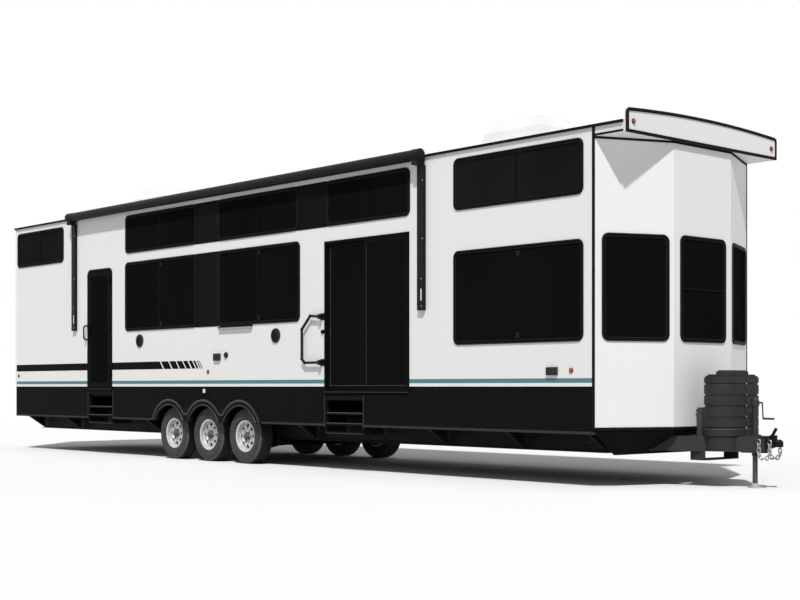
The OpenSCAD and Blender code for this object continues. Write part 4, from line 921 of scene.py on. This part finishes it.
OUTER_R, INNER_R, VALLEY, OUTER_END, INNER_END = 0.461, 0.399, 36, 22.5, 26
axle_xs = [AXLE_X - REAR_X + n * PITCH for n in (1, 0, -1)]
outer_lip = (arc(axle_xs[0], OUTER_R, OUTER_END, 180 - VALLEY)
             + arc(axle_xs[1], OUTER_R, VALLEY, 180 - VALLEY)
             + arc(axle_xs[2], OUTER_R, VALLEY, 180 - OUTER_END))
inner_lips = [(arc(x, INNER_R, INNER_END, 180 - INNER_END), -0.022) for x in axle_xs]
lip_black = moulded_black("fender_lip_black", 0.016, rough=0.26, sheen=0.5)
swept_path("fender_outer_lip", [(outer_lip, -0.0075)], thick=0.022, finish=lip_black)
swept_path("fender_inner_lips", inner_lips, thick=0.008, finish=lip_black)

# %% [markdown]
# ## A rounded moulding on the crowned board
# The board over the front has a black half-round strip along its whole edge. Its
# upper run follows the crown, and the strip is swept like the lips.

# %% Strip round the board
BOARD_FRONT = face_matrix(BOARD_X, 0, math.pi / 2)
BOARD_HALF, BOARD_LOW, BOARD_HIGH, CROWN, CORNER = 1.275, 3.470, 3.690, 0.045, 0.035
CUT = 0.3 * CORNER
crown_line = [(y, BOARD_HIGH + CROWN * (1 - (y / BOARD_HALF) ** 2))
              for y in [(BOARD_HALF - CORNER) * (1 - i / 12) for i in range(25)]]
around = [(-BOARD_HALF, BOARD_HIGH - CORNER), (-BOARD_HALF, BOARD_LOW),
          (BOARD_HALF, BOARD_LOW), (BOARD_HALF, BOARD_HIGH - CORNER),
          (BOARD_HALF - CUT, BOARD_HIGH - CUT), *crown_line, (CUT - BOARD_HALF, BOARD_HIGH - CUT)]
strip = new_paths("board_strip")
add_line(strip, BOARD_FRONT, around, 0.004, True)
sweep("board_strip", strip, thick=0.013, finish=edge_bead)

# %% [markdown]
# ## Pale noses on the steps
# A pale strip on the front edge of each tread is a painted highlight. The edges of
# each step's well and the bar at its foot get thin pale lines, also painted highlight.

# %% Tread noses and well edges
STEPS = ((2.336, 0.462, 0.944), (8.005, 0.442, 0.900))  # start, foot and top of each unit
STEP_W, TREAD_TOPS, WELL_GAP = 0.700, (0.257, 0.132), 0.012
noses, well_edges = bmesh.new(), []
for start, foot, top in STEPS:
    for tread_top in TREAD_TOPS:
        nose = rounded(start + 0.010, foot + tread_top - 0.010, STEP_W - 0.020, 0.007, 0.003, 2)
        plate(noses, DOOR_SIDE, nose, front=0.0142, back=0.0162)
    for x in (start - WELL_GAP, start + STEP_W + WELL_GAP):
        well_edges.append(([(x, foot + 0.075), (x, top)], 0.0055))
    bar_z = foot + 0.003
    well_edges.append(([(start + 0.004, bar_z), (start + STEP_W - 0.004, bar_z)], 0.0095))
# The pale noses are a painted highlight along each tread's front edge.
piece("step_noses", noses, nose_highlight_steel, "root")
swept_path("step_well_edges", well_edges, thick=0.0026, finish=highlight_line, both=False)

# %% [markdown]
# ## Window latches
# Sliding windows have a small latch at the head and foot of their middle bar.

# %% Latches at the bars
LATCH_W, LATCH_H, LATCH_IN = 0.048, 0.06, 0.055
latches = bmesh.new()
for face, start, end, sill, height in WINDOWS:
    if end - start < 1.0 or sill > UPPER_ROW:
        continue
    for z in (sill + LATCH_IN, sill + height - LATCH_IN - LATCH_H):
        latch = rounded((start + end) / 2 + 0.004, z, LATCH_W, LATCH_H, 0.008, 3)
        plate(latches, face, latch, front=-0.0055, back=0.0008, soft=0.002)
piece("window_latches", latches, gasket_rubber, "root")

# %% [markdown]
# ## Small marks on the door side
# A few things are only a few centimetres wide, yet the eye finds them: a pale
# cover on the skirt, the knob and base plates beside the patio door, and on each
# awning arm a slot and its screws.

# %% Cover, knob and arm fittings
SKIRT_COVER = (5.432, 0.920, 0.054, 0.052)  # left edge, foot, width and height
KNOB_AT, BASE_X = (7.975, -0.0112, 1.667), 7.925
HANDLE_ZS, BASE_W, BASE_H = (1.296, 1.850), 0.083, 0.084
ARM_XS, ARM_FACE = (1.961, 9.746), -0.0492
ARM_SLOT = (1.960, 0.020, 0.134)  # foot, width and height
ARM_SCREWS = ((1.90, 0.024), (2.205, 0.021), (2.65, 0.040), (3.30, 0.040))  # height, offset


def stud(target, place, segments, foot_r, head_r, tall):
    bmesh.ops.create_cone(target, cap_ends=True, segments=segments, radius1=foot_r,
                          radius2=head_r, depth=tall, matrix=DOOR_SIDE
                          @ Matrix.Translation(place) @ Matrix.Rotation(math.pi / 2, 4, "X"))


pale_cover, knob, handle_bases = bmesh.new(), bmesh.new(), bmesh.new()
plate(pale_cover, DOOR_SIDE, rounded(*SKIRT_COVER, 0.008, 3),
      front=-0.0222, back=-0.0198, soft=0.001)
piece("skirt_cover_face", pale_cover, shroud_white, "root")
stud(knob, KNOB_AT, 24, foot_r=0.027, head_r=0.021, tall=0.022)
piece("patio_side_knob", knob, trim_black, "root")
for z in HANDLE_ZS:
    base = rounded(BASE_X, z - BASE_H / 2, BASE_W, BASE_H, 0.012, 3)
    plate(handle_bases, DOOR_SIDE, base, front=-0.004, back=-0.0005, soft=0.001)
piece("handle_bases", handle_bases, trim_black, "root")
arm_marks, arm_screws = bmesh.new(), bmesh.new()
for arm_x in ARM_XS:
    slot = rounded(arm_x + 0.011, *ARM_SLOT, 0.008, 3)
    plate(arm_marks, DOOR_SIDE, slot, ARM_FACE, ARM_FACE + 0.0014)
    for z, aside in ARM_SCREWS:
        stud(arm_screws, (arm_x + aside, ARM_FACE - 0.0001, z), 12,
             foot_r=0.008, head_r=0.006, tall=0.003)
piece("awning_arm_slots", arm_marks, slot_silver, "root")
piece("awning_arm_screws", arm_screws, bolt_zinc, "root")

# %% [markdown]
# ## Side vents
# Round vents have a grille of level slats. The slats are one thin bar repeated on
# a line of points, then trimmed to the round by scaling each to its chord.

# %% Slatted grilles
VENTS, VENT_R, SLATS, SLAT_OUT = ((3.811, 1.66), (7.032, 1.648)), 0.058, 9, 0.0335
# A slat's length is in half chords, because each is scaled by its half chord
SLAT_SIZE, SLAT_REACH = (1.9, 0.008, 0.006), 0.86


def slats(centre_x, centre_z, radius, count, finish):
    g = Grower("vent_slats")
    reach = radius * SLAT_REACH
    centre = (from_rear(centre_x), -HALF_W - SLAT_OUT, centre_z)
    rise = g.named("Rise", 2 * reach / (count - 1))
    line = g.node("GeometryNodeMeshLine", sockets={
        "Count": g.named("Slats", count, "NodeSocketInt"), "Start Location": (0, 0, -reach)})
    offset = g.node("ShaderNodeCombineXYZ", sockets={"Z": rise})
    g.tree.links.new(offset, line.node.inputs["Offset"])
    place = g.node("GeometryNodeInputPosition")
    high = g.node("ShaderNodeSeparateXYZ", sockets={0: place}).node.outputs[2]
    square = g.node("ShaderNodeMath", {"operation": "MULTIPLY"}, {0: high, 1: high})
    rest = g.node("ShaderNodeMath", {"operation": "SUBTRACT"}, {0: radius * radius, 1: square})
    chord = g.node("ShaderNodeMath", {"operation": "SQRT"}, {0: rest})
    scale = g.node("ShaderNodeCombineXYZ", sockets={"X": chord, "Y": 1.0, "Z": 1.0})
    bar = g.node("GeometryNodeMeshCube", sockets={"Size": SLAT_SIZE})
    spread = g.node("GeometryNodeInstanceOnPoints", sockets={
        "Points": line, "Instance": bar, "Scale": scale})
    placed = g.node("GeometryNodeTransform", sockets={
        "Geometry": spread, "Translation": g.named("Centre", centre, "NodeSocketVector")})
    return g.mesh(placed, finish)


vent_bars = bmesh.new()
for x, z in VENTS:
    vent_bars.from_mesh(slats(x, z, VENT_R, SLATS, gasket_rubber))
piece("vent_slats", vent_bars, gasket_rubber, "root")

# %% [markdown]
# ## Cover snaps and its seam
# The bottle cover is two half shells that meet at a seam in front. Snaps hold it,
# one in each groove, and a raised lip runs down between them.

# %% Snaps on the seam
BANDS = [(0.0, 0.12), (0.17, 0.31), (0.36, 0.49), (0.54, 0.675), (0.725, 0.845), (0.895, 0.955)]
SEAM_W, SNAPS, SNAP_STEP = 0.024, 5, 0.1095
seam = bmesh.new()
front_face = face_matrix(COVER_X + COVER_FRONT - REAR_X, 0, math.pi / 2)
for low, high in BANDS:
    lip = rounded(-SEAM_W / 2, COVER_BASE + low * COVER_TALL,
                  SEAM_W, (high - low) * COVER_TALL, 0.004, 2)
    plate(seam, front_face, lip, front=-0.006, back=0.002, soft=0.002)
piece("cover_seam", seam, cover_black, "root")


def snaps(first):
    g = Grower("cover_snaps")
    line = g.node("GeometryNodeMeshLine", sockets={
        "Count": g.named("Snaps", SNAPS, "NodeSocketInt"), "Start Location": (0, 0, 0),
        "Offset": (0, 0, -SNAP_STEP)})
    snap = g.node("GeometryNodeMeshCylinder", sockets={
        "Vertices": 16, "Radius": g.named("Snap radius", 0.011), "Depth": 0.012})
    spread = g.node("GeometryNodeInstanceOnPoints", sockets={
        "Points": line, "Instance": snap, "Rotation": (0.0, math.pi / 2, 0.0)})
    placed = g.node("GeometryNodeTransform", sockets={"Geometry": spread, "Translation": first})
    return g.mesh(placed, bolt_zinc)


top_snap = (COVER_X + COVER_FRONT - 0.004, 0.0, COVER_BASE + GROOVE_TOPS[-1] * COVER_TALL)
piece("cover_snaps", snaps(top_snap), bolt_zinc, "root")
